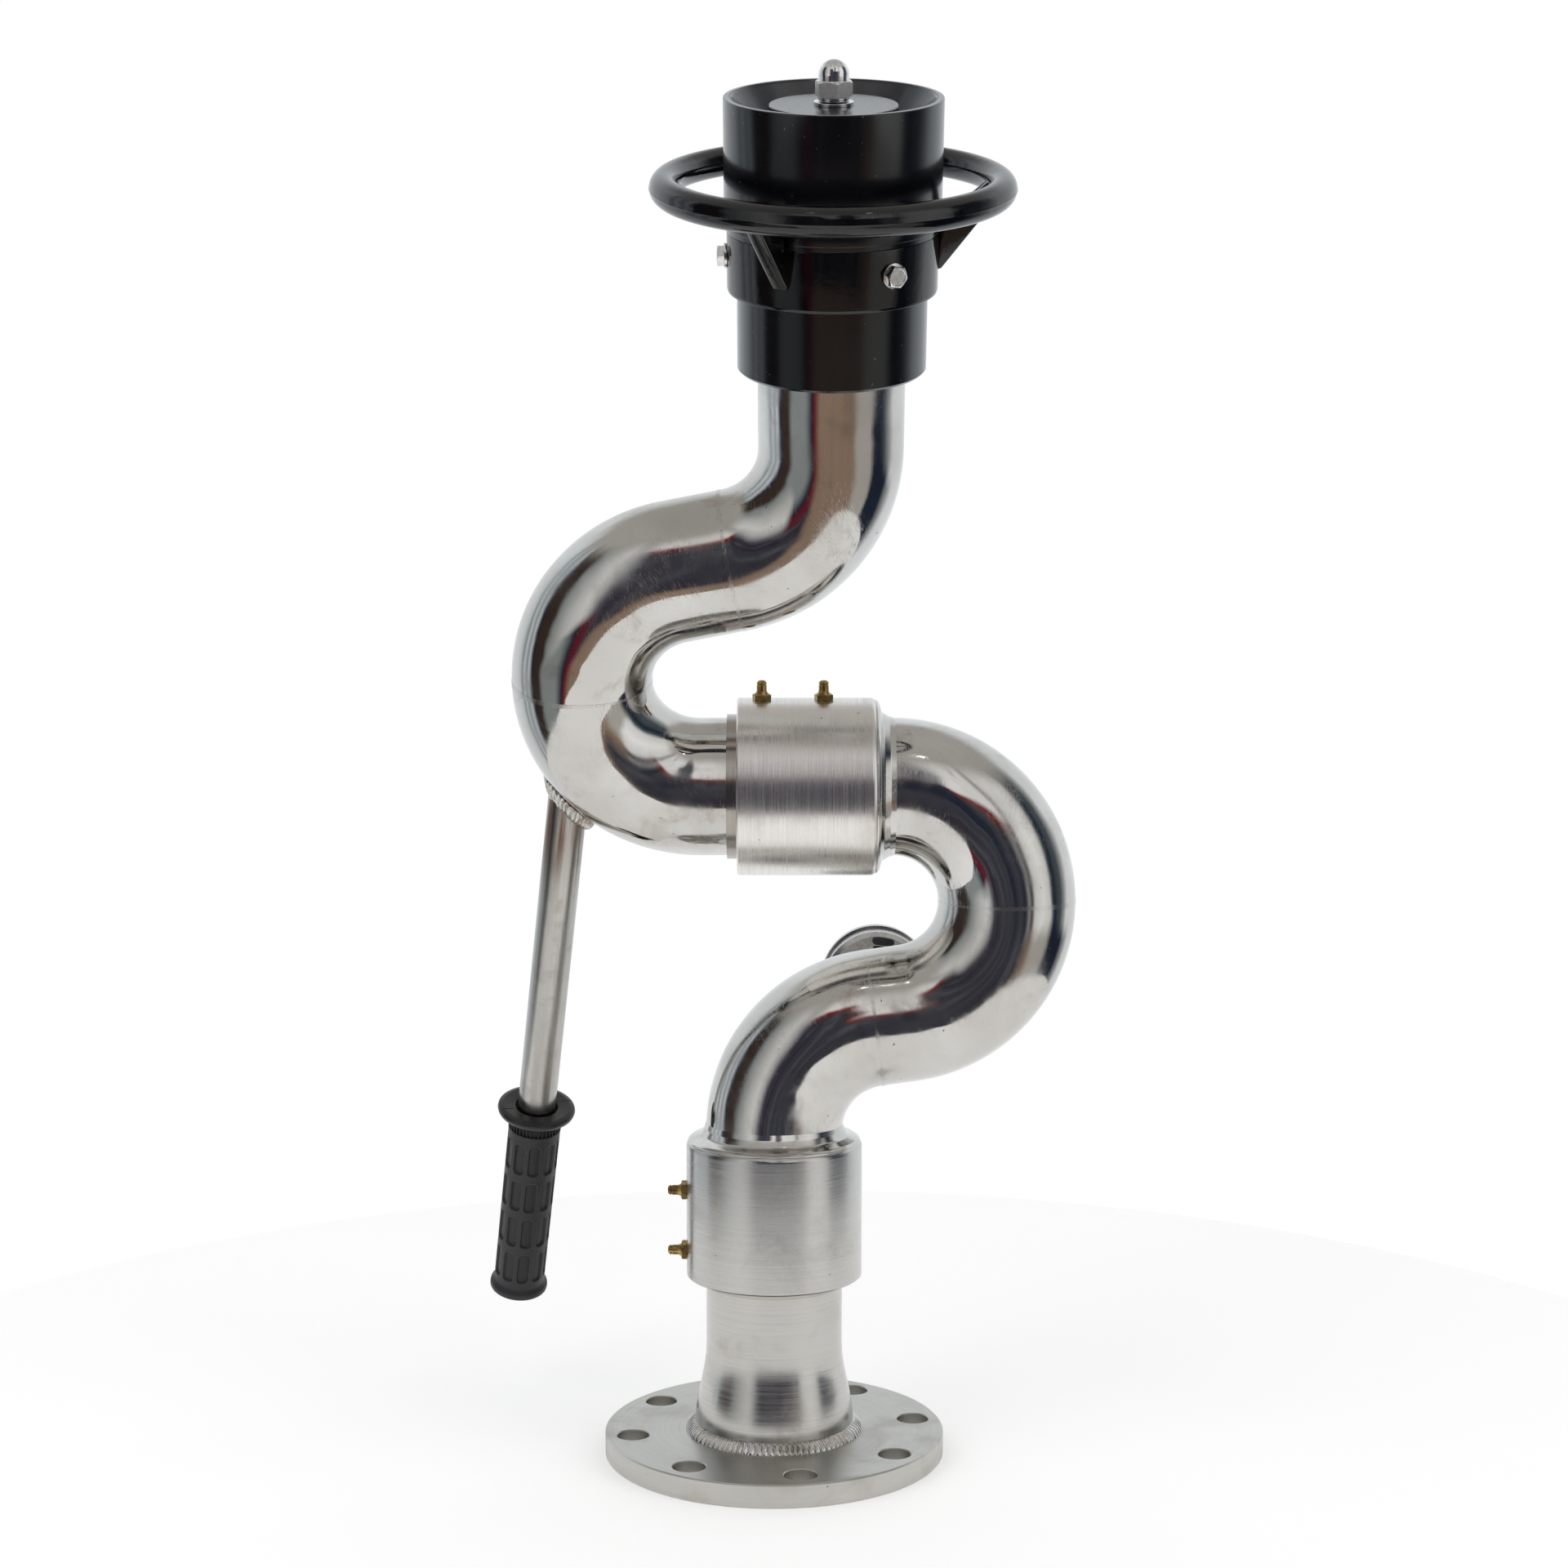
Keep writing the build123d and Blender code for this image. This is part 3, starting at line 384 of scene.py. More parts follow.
def plated_steel(name, rough=(0.10, 0.24), tone=(0.78, 0.78, 0.77)):
    """Bright fastener steel with handling marks."""
    made, tree = start_material(name, Metallic=1.0)
    where = local_vector(tree)
    marks = noise(tree, where, 300, 4, 0.65, 0.5)
    fine = noise(tree, where, 2200, 2, 0.6)
    dull = tuple(channel * 0.78 for channel in tone)
    colour = mix(tree, span(tree, marks, 0.4, 0.72, 0, 1), tone, dull)
    roughness = span(tree, marks, 0.35, 0.72, *rough)
    return wired(made, colour, roughness, [(fine, 0.000012)])


def moulded(name, tone, pale, rough=(0.35, 0.5), scale=90):
    """Plain moulded or painted surface with slight mottling."""
    made, tree = start_material(name, IOR=1.5)
    where = local_vector(tree)
    cloud = noise(tree, where, scale, 4, 0.6, 0.3)
    fine = noise(tree, where, 1600, 2, 0.6)
    colour = mix(tree, span(tree, cloud, 0.38, 0.7, 0, 1), tone, pale)
    roughness = span(tree, cloud, 0.35, 0.7, *rough)
    return wired(made, colour, roughness, [(fine, 0.00002)])


def clear_glass(name):
    """Flat window glass with a few faint smears."""
    made, tree = start_material(name, IOR=1.47, Transmission_Weight=1.0)
    smear = noise(tree, local_vector(tree), 120, 4, 0.6, 0.5)
    roughness = span(tree, smear, 0.45, 0.8, 0.01, 0.07)
    colour = mix(tree, span(tree, smear, 0.5, 0.8, 0, 1), (0.985, 0.99, 0.99), (0.95, 0.96, 0.955))
    return wired(made, colour, roughness)


x_axis_frame = frame_at((0, 0, elevation_centre.z), (1, 0, 0), (0, 0, 1))
elbow_steel = polished_steel("polished_elbow_steel")
reducer_steel = turned_steel("spun_reducer_steel", base_frame, rough=(0.12, 0.23), ring=2400,
                             depth=0.000004, tone=(0.55, 0.54, 0.515))
sleeve_steel = turned_steel("brushed_base_sleeve", base_frame)
cross_sleeve_steel = turned_steel("brushed_elevation_sleeve", x_axis_frame, rough=(0.14, 0.36),
                                  depth=0.000007, tone=(0.82, 0.79, 0.76))
# The races take a darker, browner tone than the sleeves: painted shade of the narrow gap each one sits in.
base_race_with_painted_shade = turned_steel("base_turned_race_painted_shade", base_frame, rough=(0.10, 0.20), tone=(0.46, 0.44, 0.41))
cross_race_with_painted_shade = turned_steel("elevation_turned_race_painted_shade", x_axis_frame, rough=(0.10, 0.20),
                                tone=(0.40, 0.37, 0.335))
flange_steel = turned_steel("turned_flange", base_frame, rough=(0.26, 0.42), ring=2600, depth=0.000009,
                            tone=(0.57, 0.56, 0.53))
tube_steel = drawn_steel("drawn_handle_tube", handle_frame)
shoulder_steel = polished_steel("dressed_shoulder_steel", wave=0.0005, rough=(0.08, 0.18), grain=1.2)
seam_steel = polished_steel("dressed_seam_steel", wave=0.0004, rough=(0.14, 0.28), grain=2.0)
flange_bead = weld_steel("flange_weld_bead", 0.45)
handle_bead = weld_steel("handle_weld_bead", 0.75)
body_black = anodised_black("anodised_nozzle_black", nozzle_frame)
disc_black = anodised_black("anodised_disc_black", nozzle_frame, rough=(0.17, 0.25),
                            tone=(0.012, 0.0122, 0.0135), gleam=0.26)
cone_black = anodised_black("anodised_cone_black", nozzle_frame, rough=(0.34, 0.44),
                            tone=(0.011, 0.0105, 0.0135), gleam=0.5)
wheel_black = gloss_black("moulded_wheel_black")
grip_rubber = rubber("moulded_grip_rubber")
# Pocket floors: a darker copy of the grip rubber, painted shade inside the recesses.
pocket_shade_rubber = rubber("moulded_pocket_painted_shade", (0.0075, 0.0072, 0.0072), (0.36, 0.50), 0.1)
grip_collar = rubber("moulded_collar_black", (0.010, 0.010, 0.011), (0.24, 0.34), 0.1)
seal_rubber = rubber("seal_rubber_black", (0.015, 0.015, 0.016))
nipple_brass = brass("tarnished_brass")
screw_steel = plated_steel("bright_fastener_steel")
chrome = plated_steel("bright_acorn_steel", (0.07, 0.15), (0.80, 0.80, 0.79))
# Hex flats: a real satin finish, with a paler tone than the dome that paints a highlight on them.
flats_satin_highlight = plated_steel("nut_flats_satin_highlight", (0.42, 0.55), (0.88, 0.87, 0.86))
ball_steel = plated_steel("bearing_ball_steel", (0.04, 0.1), (0.7, 0.7, 0.71))
case_steel = plated_steel("pressed_case_steel", (0.20, 0.34), (0.66, 0.66, 0.65))
bezel_steel = plated_steel("rolled_bezel_steel", (0.10, 0.2), (0.50, 0.50, 0.50))
dial_white = moulded("printed_dial_white", (0.80, 0.80, 0.78), (0.88, 0.88, 0.87))
needle_black = moulded("painted_needle_black", (0.012, 0.012, 0.013), (0.03, 0.03, 0.032))
plug_black = moulded("moulded_plug_black", (0.015, 0.015, 0.017), (0.035, 0.035, 0.037))
glide_nylon = moulded("glide_nylon_white", (0.70, 0.69, 0.64), (0.78, 0.77, 0.73))
gauge_glass = clear_glass("gauge_window_glass")

CAD_MATERIALS = {
    elbow_steel: ("lower_elbow_inlet", "lower_elbow_middle", "lower_elbow_outlet", "upper_elbow_inlet",
                  "upper_elbow_middle", "upper_elbow_outlet"),
    reducer_steel: ("base_reducer",),
    sleeve_steel: ("base_sleeve",),
    cross_sleeve_steel: ("elevation_sleeve",),
    base_race_with_painted_shade: ("base_race",),
    cross_race_with_painted_shade: ("elevation_race",),
    flange_steel: ("flange",),
    tube_steel: ("handle_tube",),
    seam_steel: ("lower_seam_welds", "upper_seam_welds"),
    flange_bead: ("flange_weld",),
    handle_bead: ("handle_weld",),
    body_black: ("nozzle_body", "nozzle_spider", "nozzle_stem", "pattern_sleeve"),
    disc_black: ("baffle_disc",),
    wheel_black: ("handwheel",),
    grip_rubber: ("handle_grip",),
    seal_rubber: ("base_seal", "elevation_seal"),
    nipple_brass: ("base_grease_nipples", "elevation_grease_nipples", "bourdon_tube", "gauge_stem"),
    screw_steel: ("base_ball_plugs", "elevation_ball_plugs", "hub_bolts", "hub_washers", "flat_washer",
                  "spring_washer"),
    chrome: ("acorn_nut",),
    ball_steel: ("base_balls", "elevation_balls"),
    case_steel: ("gauge_case", "gauge_boss"),
    bezel_steel: ("gauge_bezel",),
    dial_white: ("gauge_dial",),
    needle_black: ("gauge_needle",),
    plug_black: ("gauge_vent_plug",),
    glide_nylon: ("glide_ring",),
    gauge_glass: ("gauge_glass",),
}
for finish, names in CAD_MATERIALS.items():
    for name in names:
        slots = NODES[name].material_slots
        for slot in slots:
            slot.material = finish
        if not slots:
            NODES[name].data.materials.append(finish)


# ---- Mesh helpers ----
def rounded(outline, steps=3, closed=False):
    """An outline of (radius, height[, corner radius]) with its marked corners rounded."""
    count = len(outline)
    out = []
    for index, point in enumerate(outline):
        here = Vector(point[:2])
        size = point[2] if len(point) > 2 else 0.0
        if size <= 0 or (not closed and index in (0, count - 1)):
            out.append(tuple(here))
            continue
        back = Vector(outline[index - 1][:2]) - here
        ahead = Vector(outline[(index + 1) % count][:2]) - here
        half = acos(max(-1.0, min(1.0, back.normalized().dot(ahead.normalized())))) / 2
        reach = min(size / tan(half), back.length * 0.49, ahead.length * 0.49)
        start, end = here + back.normalized() * reach, here + ahead.normalized() * reach
        for step in range(steps + 1):
            t = step / steps
            out.append(tuple(start * (1 - t) ** 2 + here * 2 * t * (1 - t) + end * t * t))
    return out


def ring_of(bm, row, place=base_frame):
    """Vertices at (radius, height) millimetres, spaced evenly round Z, or one vertex on the axis."""
    if row[0][0] < ON_AXIS:
        row = row[:1]
    ring = []
    for step, (radius, height) in enumerate(row):
        point = around(360 * step / len(row)) * radius * MM + Vector((0, 0, height * MM))
        ring.append(bm.verts.new(place @ point))
    return ring


def lathe(bm, outline, segments=128, closed=False, warp=None, place=base_frame):
    """Turns an outline of (radius, height) in millimetres about Z. warp(azimuth, radius, height)
    returns a changed (radius, height)."""
    rings = []
    for radius, height in outline:
        row = [(radius, height)] * segments
        if warp:
            row = [warp(360 * step / segments, radius, height) for step in range(segments)]
        rings.append(ring_of(bm, row, place))
    skin(bm, rings, closed)


def skin(bm, rings, closed=False):
    """Joins neighbouring rings of vertices with faces; a ring of one vertex is a pole."""
    pairs = list(zip(rings, rings[1:]))
    if closed:
        pairs.append((rings[-1], rings[0]))
    for lower, upper in pairs:
        count = max(len(lower), len(upper))
        for step in range(count):
            corners = [lower[step % len(lower)], lower[(step + 1) % len(lower)],
                       upper[(step + 1) % len(upper)], upper[step % len(upper)]]
            corners = list(dict.fromkeys(corners))
            if len(corners) > 2:
                bm.faces.new(corners)


def hexagon_rings(bm, across_flats, foot, top, place=base_frame, foot_chamfer=False, turn=0, hole=0.0,
                  crown=()):
    """A hexagon with chamfered corners between two heights, then any crown of (radius, height)."""
    segments = 72
    flat = across_flats / 2
    circle = flat * 0.95
    edge = [flat / cos(radians((360 * step / segments - turn) % 60 - 30)) for step in range(segments)]

    def chamfer(radius):
        return max(0.0, radius - circle) * tan(radians(30))

    profile = [[(hole, foot)] * segments] if hole else []
    if foot_chamfer:
        profile.append([(circle, foot)] * segments)
    profile.append([(radius, foot + chamfer(radius) * foot_chamfer) for radius in edge])
    profile.append([(radius, top - chamfer(radius)) for radius in edge])
    profile.append([(circle, top)] * segments)
    profile += [[point] * segments for point in crown]
    skin(bm, [ring_of(bm, row, place) for row in profile])


def scene_object(name, data):
    """A new object in the scene's own collection."""
    made = bpy.data.objects.new(name, data)
    bpy.context.scene.collection.objects.link(made)
    return made


def finished(bm, name, place, finish, body, replaced=(), sharp=35):
    """Makes the piece: mesh, shading, material, body, slot and the CAD nodes it stands for."""
    bmesh.ops.remove_doubles(bm, verts=bm.verts, dist=1e-7)
    bmesh.ops.recalc_face_normals(bm, faces=bm.faces)
    mesh = bpy.data.meshes.new(name)
    bm.to_mesh(mesh)
    bm.free()
    mesh.polygons.foreach_set("use_smooth", [True] * len(mesh.polygons))
    mesh.set_sharp_from_angle(angle=radians(sharp))
    mesh.materials.append(finish)
    piece = scene_object(name, mesh)
    piece.matrix_world = place
    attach(piece, body)
    if replaced:
        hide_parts(*replaced)
    return piece


def scallop(phase):
    """Rounded ridges with sharp valleys, from 0 to 1."""
    return abs(sin(phase)) ** 0.7


# ---- Weld beads ----
def flange_bead_piece():
    """Rippled fillet weld between the flange and the inlet pipe."""
    rng = random.Random(11)
    drift = [(rng.uniform(0.4, 1.2), rng.uniform(0, TAU), rng.randint(3, 23)) for _ in range(7)]
    beads, segments, steps = 88, 1408, 12
    bm = bmesh.new()
    rings = []
    for index in range(steps + 1):
        t = index / steps
        turn = pi / 2 * (1 - t)
        row = []
        for step in range(segments):
            a = TAU * step / segments
            wander = sum(size * sin(a * times_round + start) for size, start, times_round in drift) / 7
            phase = a * beads / 2 + wander * 2.6 + (2.4 + wander) * (t - 0.5) ** 2
            lift = scallop(phase) * sin(pi * t) ** 0.5
            leg = FLANGE_WELD_LEG + 0.9 * wander
            length = leg * (1 - 0.32 * sin(pi * t)) + (1.25 + 0.6 * wander) * lift
            if index in (0, steps):
                length = leg + 0.25 * scallop(phase)
            row.append((INLET_R - 0.25 + length * cos(turn), FLANGE_T - 0.15 + length * sin(turn)))
        rings.append(ring_of(bm, row))
    rings.append(ring_of(bm, [(INLET_R - 0.6, FLANGE_T - 0.6)] * segments))
    skin(bm, rings, True)
    finished(bm, "flange_weld_bead", base_frame, flange_bead, "base", ["flange_weld"], 60)


def handle_bead_piece():
    """Rippled weld where the handle tube meets the pipe bend, laid on the pipe's own surface."""
    corners, faces = [], []
    for name in ("upper_elbow_inlet", "upper_elbow_middle", "upper_seam_welds"):
        mesh = NODES[name].data
        start = len(corners)
        corners += [vertex.co.copy() for vertex in mesh.vertices]
        faces += [[start + index for index in face.vertices] for face in mesh.polygons]
    pipe = BVHTree.FromPolygons(corners, faces)
    rng = random.Random(5)
    drift = [(rng.uniform(0.3, 1.0), rng.uniform(0, TAU), rng.randint(2, 11)) for _ in range(6)]
    down = handle_frame.to_3x3() @ Vector((0, 0, 1))
    segments, steps, beads = 528, 12, 34
    below, search = 0.08, 0.2
    bm = bmesh.new()
    rings = [[] for _ in range(steps + 2)]
    for step in range(segments):
        a = TAU * step / segments
        out = (handle_frame.to_3x3() @ around(degrees(a))).normalized()
        start = handle_top + down * below + out * HANDLE_R * MM
        hit, normal, _, _ = pipe.ray_cast(start, -down, search)
        if hit is None:
            raise RuntimeError("the handle tube misses the pipe bend")
        if normal.dot(down) < 0:
            normal = -normal
        lay = (out - normal * out.dot(normal)).normalized()
        wander = sum(size * sin(a * times_round + begin) for size, begin, times_round in drift) / 6
        for row in range(steps + 1):
            t = row / steps
            phase = a * beads / 2 + wander * 1.5 + 2.2 * (t - 0.5) ** 2
            leg = HANDLE_WELD_LEG + 1.6 * wander
            length = leg * (1 - 0.22 * sin(pi * t)) + 1.3 * scallop(phase) * sin(pi * t) ** 0.5
            turn = pi / 2 * t
            point = hit + (lay * cos(turn) + down * sin(turn) * 1.4) * length * MM
            point -= normal * 0.15 * MM * (1 - t) + out * 0.15 * MM * t
            rings[row].append(bm.verts.new(point))
        rings[steps + 1].append(bm.verts.new(hit - out * 0.8 * MM - normal * 0.8 * MM))
    skin(bm, rings, True)
    finished(bm, "handle_weld_bead", base_frame, handle_bead, "cradle",
             ["handle_weld"], 60)


def shoulder_piece(name, place):
    """Dressed, polished weld fillet from the sleeve's end up to the pipe."""
    bm = bmesh.new()
    top = SHOULDER + SHOULDER_RISE
    outline = rounded([(PIPE_R - 0.5, SHOULDER_FOOT - 0.6, 0), (SLEEVE_R - 1.6, SHOULDER - 0.4, 0),
                       (SLEEVE_R - 0.7, SHOULDER + 0.5, 0.9), (SLEEVE_R - 2.6, SHOULDER + 2.1, 2.2),
                       (PIPE_R + 3.2, SHOULDER + 3.6, 3.0), (PIPE_R + 0.9, SHOULDER + 7.5, 3.0),
                       (PIPE_R + 0.05, top, 0), (PIPE_R - 0.5, top, 0)], 6, True)
    lathe(bm, outline, 192, True)
    finished(bm, name, place, shoulder_steel, "turret", (), 60)


flange_bead_piece()
handle_bead_piece()
base_sleeve_frame = Matrix.Translation((0, 0, BASE_SLEEVE_Z * MM))
cross_sleeve_frame = frame_at((ELEVATION_SLEEVE_X * MM, 0, elevation_centre.z), (1, 0, 0), (0, 0, 1))
shoulder_piece("base_sleeve_shoulder", base_sleeve_frame)
shoulder_piece("elevation_sleeve_shoulder", cross_sleeve_frame)

# ---- Handle grip ----
GRIP_START = HANDLE_LENGTH - GRIP_LENGTH
COLLAR_T = 5.0
NECK_END = GRIP_START + 14.2
BODY_END = HANDLE_LENGTH - 3.5
RECESS = (7.0, 20.4)
RECESS_PITCH = 25.4
RECESS_DEPTH = 1.2
FIRST_RECESS = NECK_END + 16.2
RECESS_COLUMNS = 10
FIRST_COLUMN = -12.0
GRIP_R = 15.2
GRIP_TAPER = 0.25
GRIP_END_R = 17.2
NECK_R = 15.0
NECK_RIBS = 40
COLLAR_R = 22.7
GRIP_BORE_R = HANDLE_R + 0.3
PARTING = (-73.0, 107.0)
COLLAR_PARTING = (-118.0, 62.0)


def nearest_turn(azimuth, target):
    """Signed turn in degrees from target to azimuth, the short way."""
    return (azimuth - target + 180) % 360 - 180


def smooth(t):
    """Eases from 0 to 1 as t does."""
    t = max(0.0, min(1.0, t))
    return t * t * (3 - 2 * t)


def recess_depth(azimuth, height, radius):
    """How far the grip's skin sinks below its cylinder at a point."""
    pitch = 360 / RECESS_COLUMNS
    off = (azimuth - FIRST_COLUMN + pitch / 2) % pitch - pitch / 2
    across = abs(radians(off)) * radius
    row = round((height - FIRST_RECESS) / RECESS_PITCH)
    if row < 0 or row > 3:
        return 0.0
    along = abs(height - FIRST_RECESS - row * RECESS_PITCH)
    corner = 2.6
    dx = max(across - (RECESS[0] / 2 - corner), 0.0)
    dy = max(along - (RECESS[1] / 2 - corner), 0.0)
    edge = corner - sqrt(dx * dx + dy * dy)
    lip = 0.10 * max(0.0, 1 - abs(edge + 0.55) / 0.55)
    return RECESS_DEPTH * smooth((edge + 0.15) / 0.75) - lip


def parting_ridge(azimuth, width, height):
    """How far the mould's parting line stands proud at an azimuth."""
    reach = min(abs(nearest_turn(azimuth, place)) for place in PARTING)
    return height * max(0.0, 1 - reach / width)


def grip_pieces():
    """Grip body with moulded pockets, its ribbed neck and its collar."""
    bm = bmesh.new()
    profile = rounded([(GRIP_R + 0.1, NECK_END - 0.2, 0), (GRIP_R + 0.25, NECK_END + 0.1, 0.5),
                       (GRIP_R, NECK_END + 3, 2)], 3)
    step = 0.42
    rows = int((BODY_END - 2.2 - NECK_END - 3.2) / step)
    profile += [(GRIP_R - GRIP_TAPER * row / rows, NECK_END + 3.2 + row * step) for row in range(rows)]
    profile += rounded([(GRIP_R - GRIP_TAPER, BODY_END - 2.2), (GRIP_END_R - 0.3, BODY_END - 0.4, 1.2),
                        (GRIP_END_R, BODY_END + 1.2, 1.2), (GRIP_END_R - 0.2, HANDLE_LENGTH, 1.3),
                        (0, HANDLE_LENGTH)], 5)

    def skin_warp(azimuth, radius, height):
        if radius < 12:
            return radius, height
        sink = recess_depth(azimuth, height, radius) if height < BODY_END - 2.4 else 0.0
        return radius - sink + parting_ridge(azimuth, 1.6, 0.16), height

    lathe(bm, [(GRIP_BORE_R, NECK_END - 0.2)] + profile, 400, False, skin_warp)
    body = finished(bm, "grip_body", handle_frame, grip_rubber, "cradle",
                    ["handle_grip"], 50)
    # Faces deep in the pockets take the darker rubber: painted shade in the recesses.
    body.data.materials.append(pocket_shade_rubber)
    for face in body.data.polygons:
        centre = face.center / MM
        radius = sqrt(centre.x ** 2 + centre.y ** 2)
        azimuth = degrees(atan2(centre.x, -centre.y))
        if NECK_END + 3 < centre.z < BODY_END - 2.4 and radius > 12:
            if recess_depth(azimuth, centre.z, radius) > RECESS_DEPTH * 0.55:
                face.material_index = 1

    bm = bmesh.new()

    def rib_warp(azimuth, radius, height):
        if radius < 14:
            return radius, height
        return radius - 1.25 + 1.45 * max(0.0, sin(radians(azimuth * NECK_RIBS))) ** 0.6, height

    neck_foot = GRIP_START + COLLAR_T - 1
    neck = [(GRIP_BORE_R, neck_foot), (NECK_R, neck_foot), (NECK_R, neck_foot + 5), (NECK_R, NECK_END),
            (GRIP_BORE_R, NECK_END)]
    lathe(bm, neck, NECK_RIBS * 14, True, rib_warp)
    finished(bm, "grip_ribbed_neck", handle_frame, grip_rubber, "cradle", (), 40)

    bm = bmesh.new()
    top = GRIP_START
    collar = rounded([(12.6, top + 4.5, 0.5), (12.4, top + 0.6, 0.6), (14.4, top + 0.35, 0.8),
                      (19.5, top - 0.1, 2.0), (COLLAR_R - 0.4, top + 0.5, 1.4), (COLLAR_R, top + 2.3, 1.2),
                      (COLLAR_R - 0.7, top + 4.5, 1.2), (17.5, top + COLLAR_T + 0.4, 1.0),
                      (15.2, top + COLLAR_T + 0.8, 0.5), (12.6, top + COLLAR_T + 0.6, 0.3)], 4, True)

    def collar_warp(azimuth, radius, height):
        reach = min(abs(nearest_turn(azimuth, place)) for place in COLLAR_PARTING)
        line = max(0.0, 1 - reach * radius / 22 / 0.9)
        return radius - 0.10 * line, height + (0.22 * line if height < top + 2.5 else 0.0)

    lathe(bm, collar, 720, True, collar_warp)
    finished(bm, "grip_collar", handle_frame, grip_collar, "cradle", (), 40)


grip_pieces()


# ---- Pattern sleeve and handwheel ----
def sleeve_piece():
    """The turned sleeve with its rim groove, cone, throat and glide-ring groove."""
    bm = bmesh.new()
    outline = rounded([
        (BARREL_BORE_R, HUB_FOOT + 1, 0.3), (SKIRT_R, HUB_FOOT + 1, 0.3), (SKIRT_R, HUB_TOP, 0),
        (BARREL_R - 1.0, HUB_TOP, 0.3), (BARREL_R - 1.0, HUB_TOP + 2.4, 0.1),
        (BARREL_R - 0.3, HUB_TOP + 2.8, 0.2), (BARREL_R - 0.3, HUB_TOP + 6.6, 0.1),
        (BARREL_R - 0.75, HUB_TOP + 6.9, 0.1),
        (BARREL_R - 0.75, HUB_TOP + 7.5, 0.1), (BARREL_R, HUB_TOP + 7.9, 0.3),
        (BARREL_R, RIM, 0.9), (RIM_BORE_R + 1.5, RIM, 0.2),
        (RIM_BORE_R + 1.3, RIM - 0.5, 0.1), (RIM_BORE_R + 0.9, RIM - 0.5, 0.1),
        (RIM_BORE_R + 0.6, RIM - 0.1, 0.1), (RIM_BORE_R, RIM - 0.9, 0.2),
        (THROAT_R, CONE_FOOT, 0.6), (THROAT_R, THROAT_FOOT, 0.4),
        (BARREL_BORE_R, THROAT_FOOT, 0.2), (BARREL_BORE_R, GLIDE[1]), (GLIDE_R, GLIDE[1]),
        (GLIDE_R, GLIDE[0]), (BARREL_BORE_R, GLIDE[0])], 3, True)
    lathe(bm, outline, 256, True)
    sleeve = finished(bm, "pattern_sleeve_turned", nozzle_frame, body_black, "pattern_wheel",
                      ["pattern_sleeve"], 28)
    sleeve.data.materials.append(cone_black)
    for face in sleeve.data.polygons:
        centre = face.center / MM
        if centre.z > CONE_FOOT - 1 and sqrt(centre.x ** 2 + centre.y ** 2) < RIM_BORE_R - 0.3:
            face.material_index = 1


def rib(bm, azimuth):
    """One web between the hub and the ring, with a wide sloped outer edge."""
    outline = [(HUB_R - 1.2, HUB_FOOT + 10.5), (HUB_R + 1.2, HUB_FOOT + 10.8),
               (WHEEL_R - 2.5, WHEEL_PLACE - 6.6), (WHEEL_R - 1, WHEEL_PLACE),
               (WHEEL_R - 6, WHEEL_PLACE + 3.2), (BARREL_R + 2.2, HUB_TOP + 7),
               (BARREL_R + 1.4, HUB_TOP + 0.6), (HUB_R - 1.2, HUB_TOP - 0.6)]
    out, side = around(azimuth), around(azimuth + 90)
    chamfer = 2.0
    centre = Vector((sum(p[0] for p in outline), sum(p[1] for p in outline))) / len(outline)
    layers = []
    for across, inset in ((-RIB_T / 2, chamfer), (-RIB_T / 2 + 0.7, 0.35), (-RIB_T / 2 + 1.3, 0.0),
                          (RIB_T / 2 - 1.3, 0.0), (RIB_T / 2 - 0.7, 0.35), (RIB_T / 2, chamfer)):
        ring = []
        for point in rounded([(*p, 2.0) for p in outline], 4, True):
            flat = Vector(point)
            flat += (centre - flat).normalized() * inset
            local = out * flat.x + side * across + Vector((0, 0, flat.y))
            ring.append(bm.verts.new(local * MM))
        layers.append(ring)
    skin(bm, layers)
    bm.faces.new(layers[0][::-1])
    bm.faces.new(layers[-1])


def wheel_piece():
    """Ring with a faint parting line, hub and three ribs."""
    bm = bmesh.new()
    ring = []
    facets = 64
    for step in range(facets):
        a = TAU * step / facets
        proud = WHEEL_TUBE_R + 0.22 * max(0.0, 1 - abs(nearest_turn(degrees(a), 0)) / 6)
        ring.append((WHEEL_R + proud * cos(a), WHEEL_PLACE + proud * sin(a)))
    lathe(bm, ring, 288, True)
    hub = rounded([(SKIRT_R, HUB_FOOT, 0.4), (HUB_R - 0.4, HUB_FOOT, 0.5), (HUB_R, HUB_FOOT + 1.6, 0.6),
                   (HUB_R, HUB_TOP, 0.7), (SKIRT_R, HUB_TOP, 0.2)], 4, True)
    lathe(bm, hub, 256, True)
    for azimuth in RIB_AZIMUTHS:
        rib(bm, azimuth)
    finished(bm, "handwheel_moulded", nozzle_frame, wheel_black, "pattern_wheel",
             ["handwheel"], 32)


def hub_fasteners():
    """Washers and hexagon screws round the hub."""
    washers, screws = bmesh.new(), bmesh.new()
    for number, azimuth in enumerate(BOLT_AZIMUTHS):
        at = around(azimuth) * HUB_R * MM + Vector((0, 0, HUB_BOLT_PLACE * MM))
        place = frame_at(at, around(azimuth), (0, 0, 1))
        ring = rounded([(3.0, -0.1, 0), (WASHER_R, -0.1, 0.1), (WASHER_R, WASHER_T, 0.35),
                        (3.0, WASHER_T, 0)], 3, True)
        lathe(washers, ring, 64, True, place=place)
        hexagon_rings(screws, SCREW_FLATS, WASHER_T, SCREW_TOP, place, turn=17 + 23 * number,
                      crown=[(4.1, SCREW_TOP), (3.9, SCREW_TOP - 0.15), (0, SCREW_TOP - 0.15)])
    finished(washers, "hub_washers_pressed", nozzle_frame, screw_steel, "pattern_wheel",
             ["hub_washers"], 30)
    finished(screws, "hub_screws_hexagon", nozzle_frame, screw_steel, "pattern_wheel",
             ["hub_bolts"], 24)


sleeve_piece()
wheel_piece()
hub_fasteners()


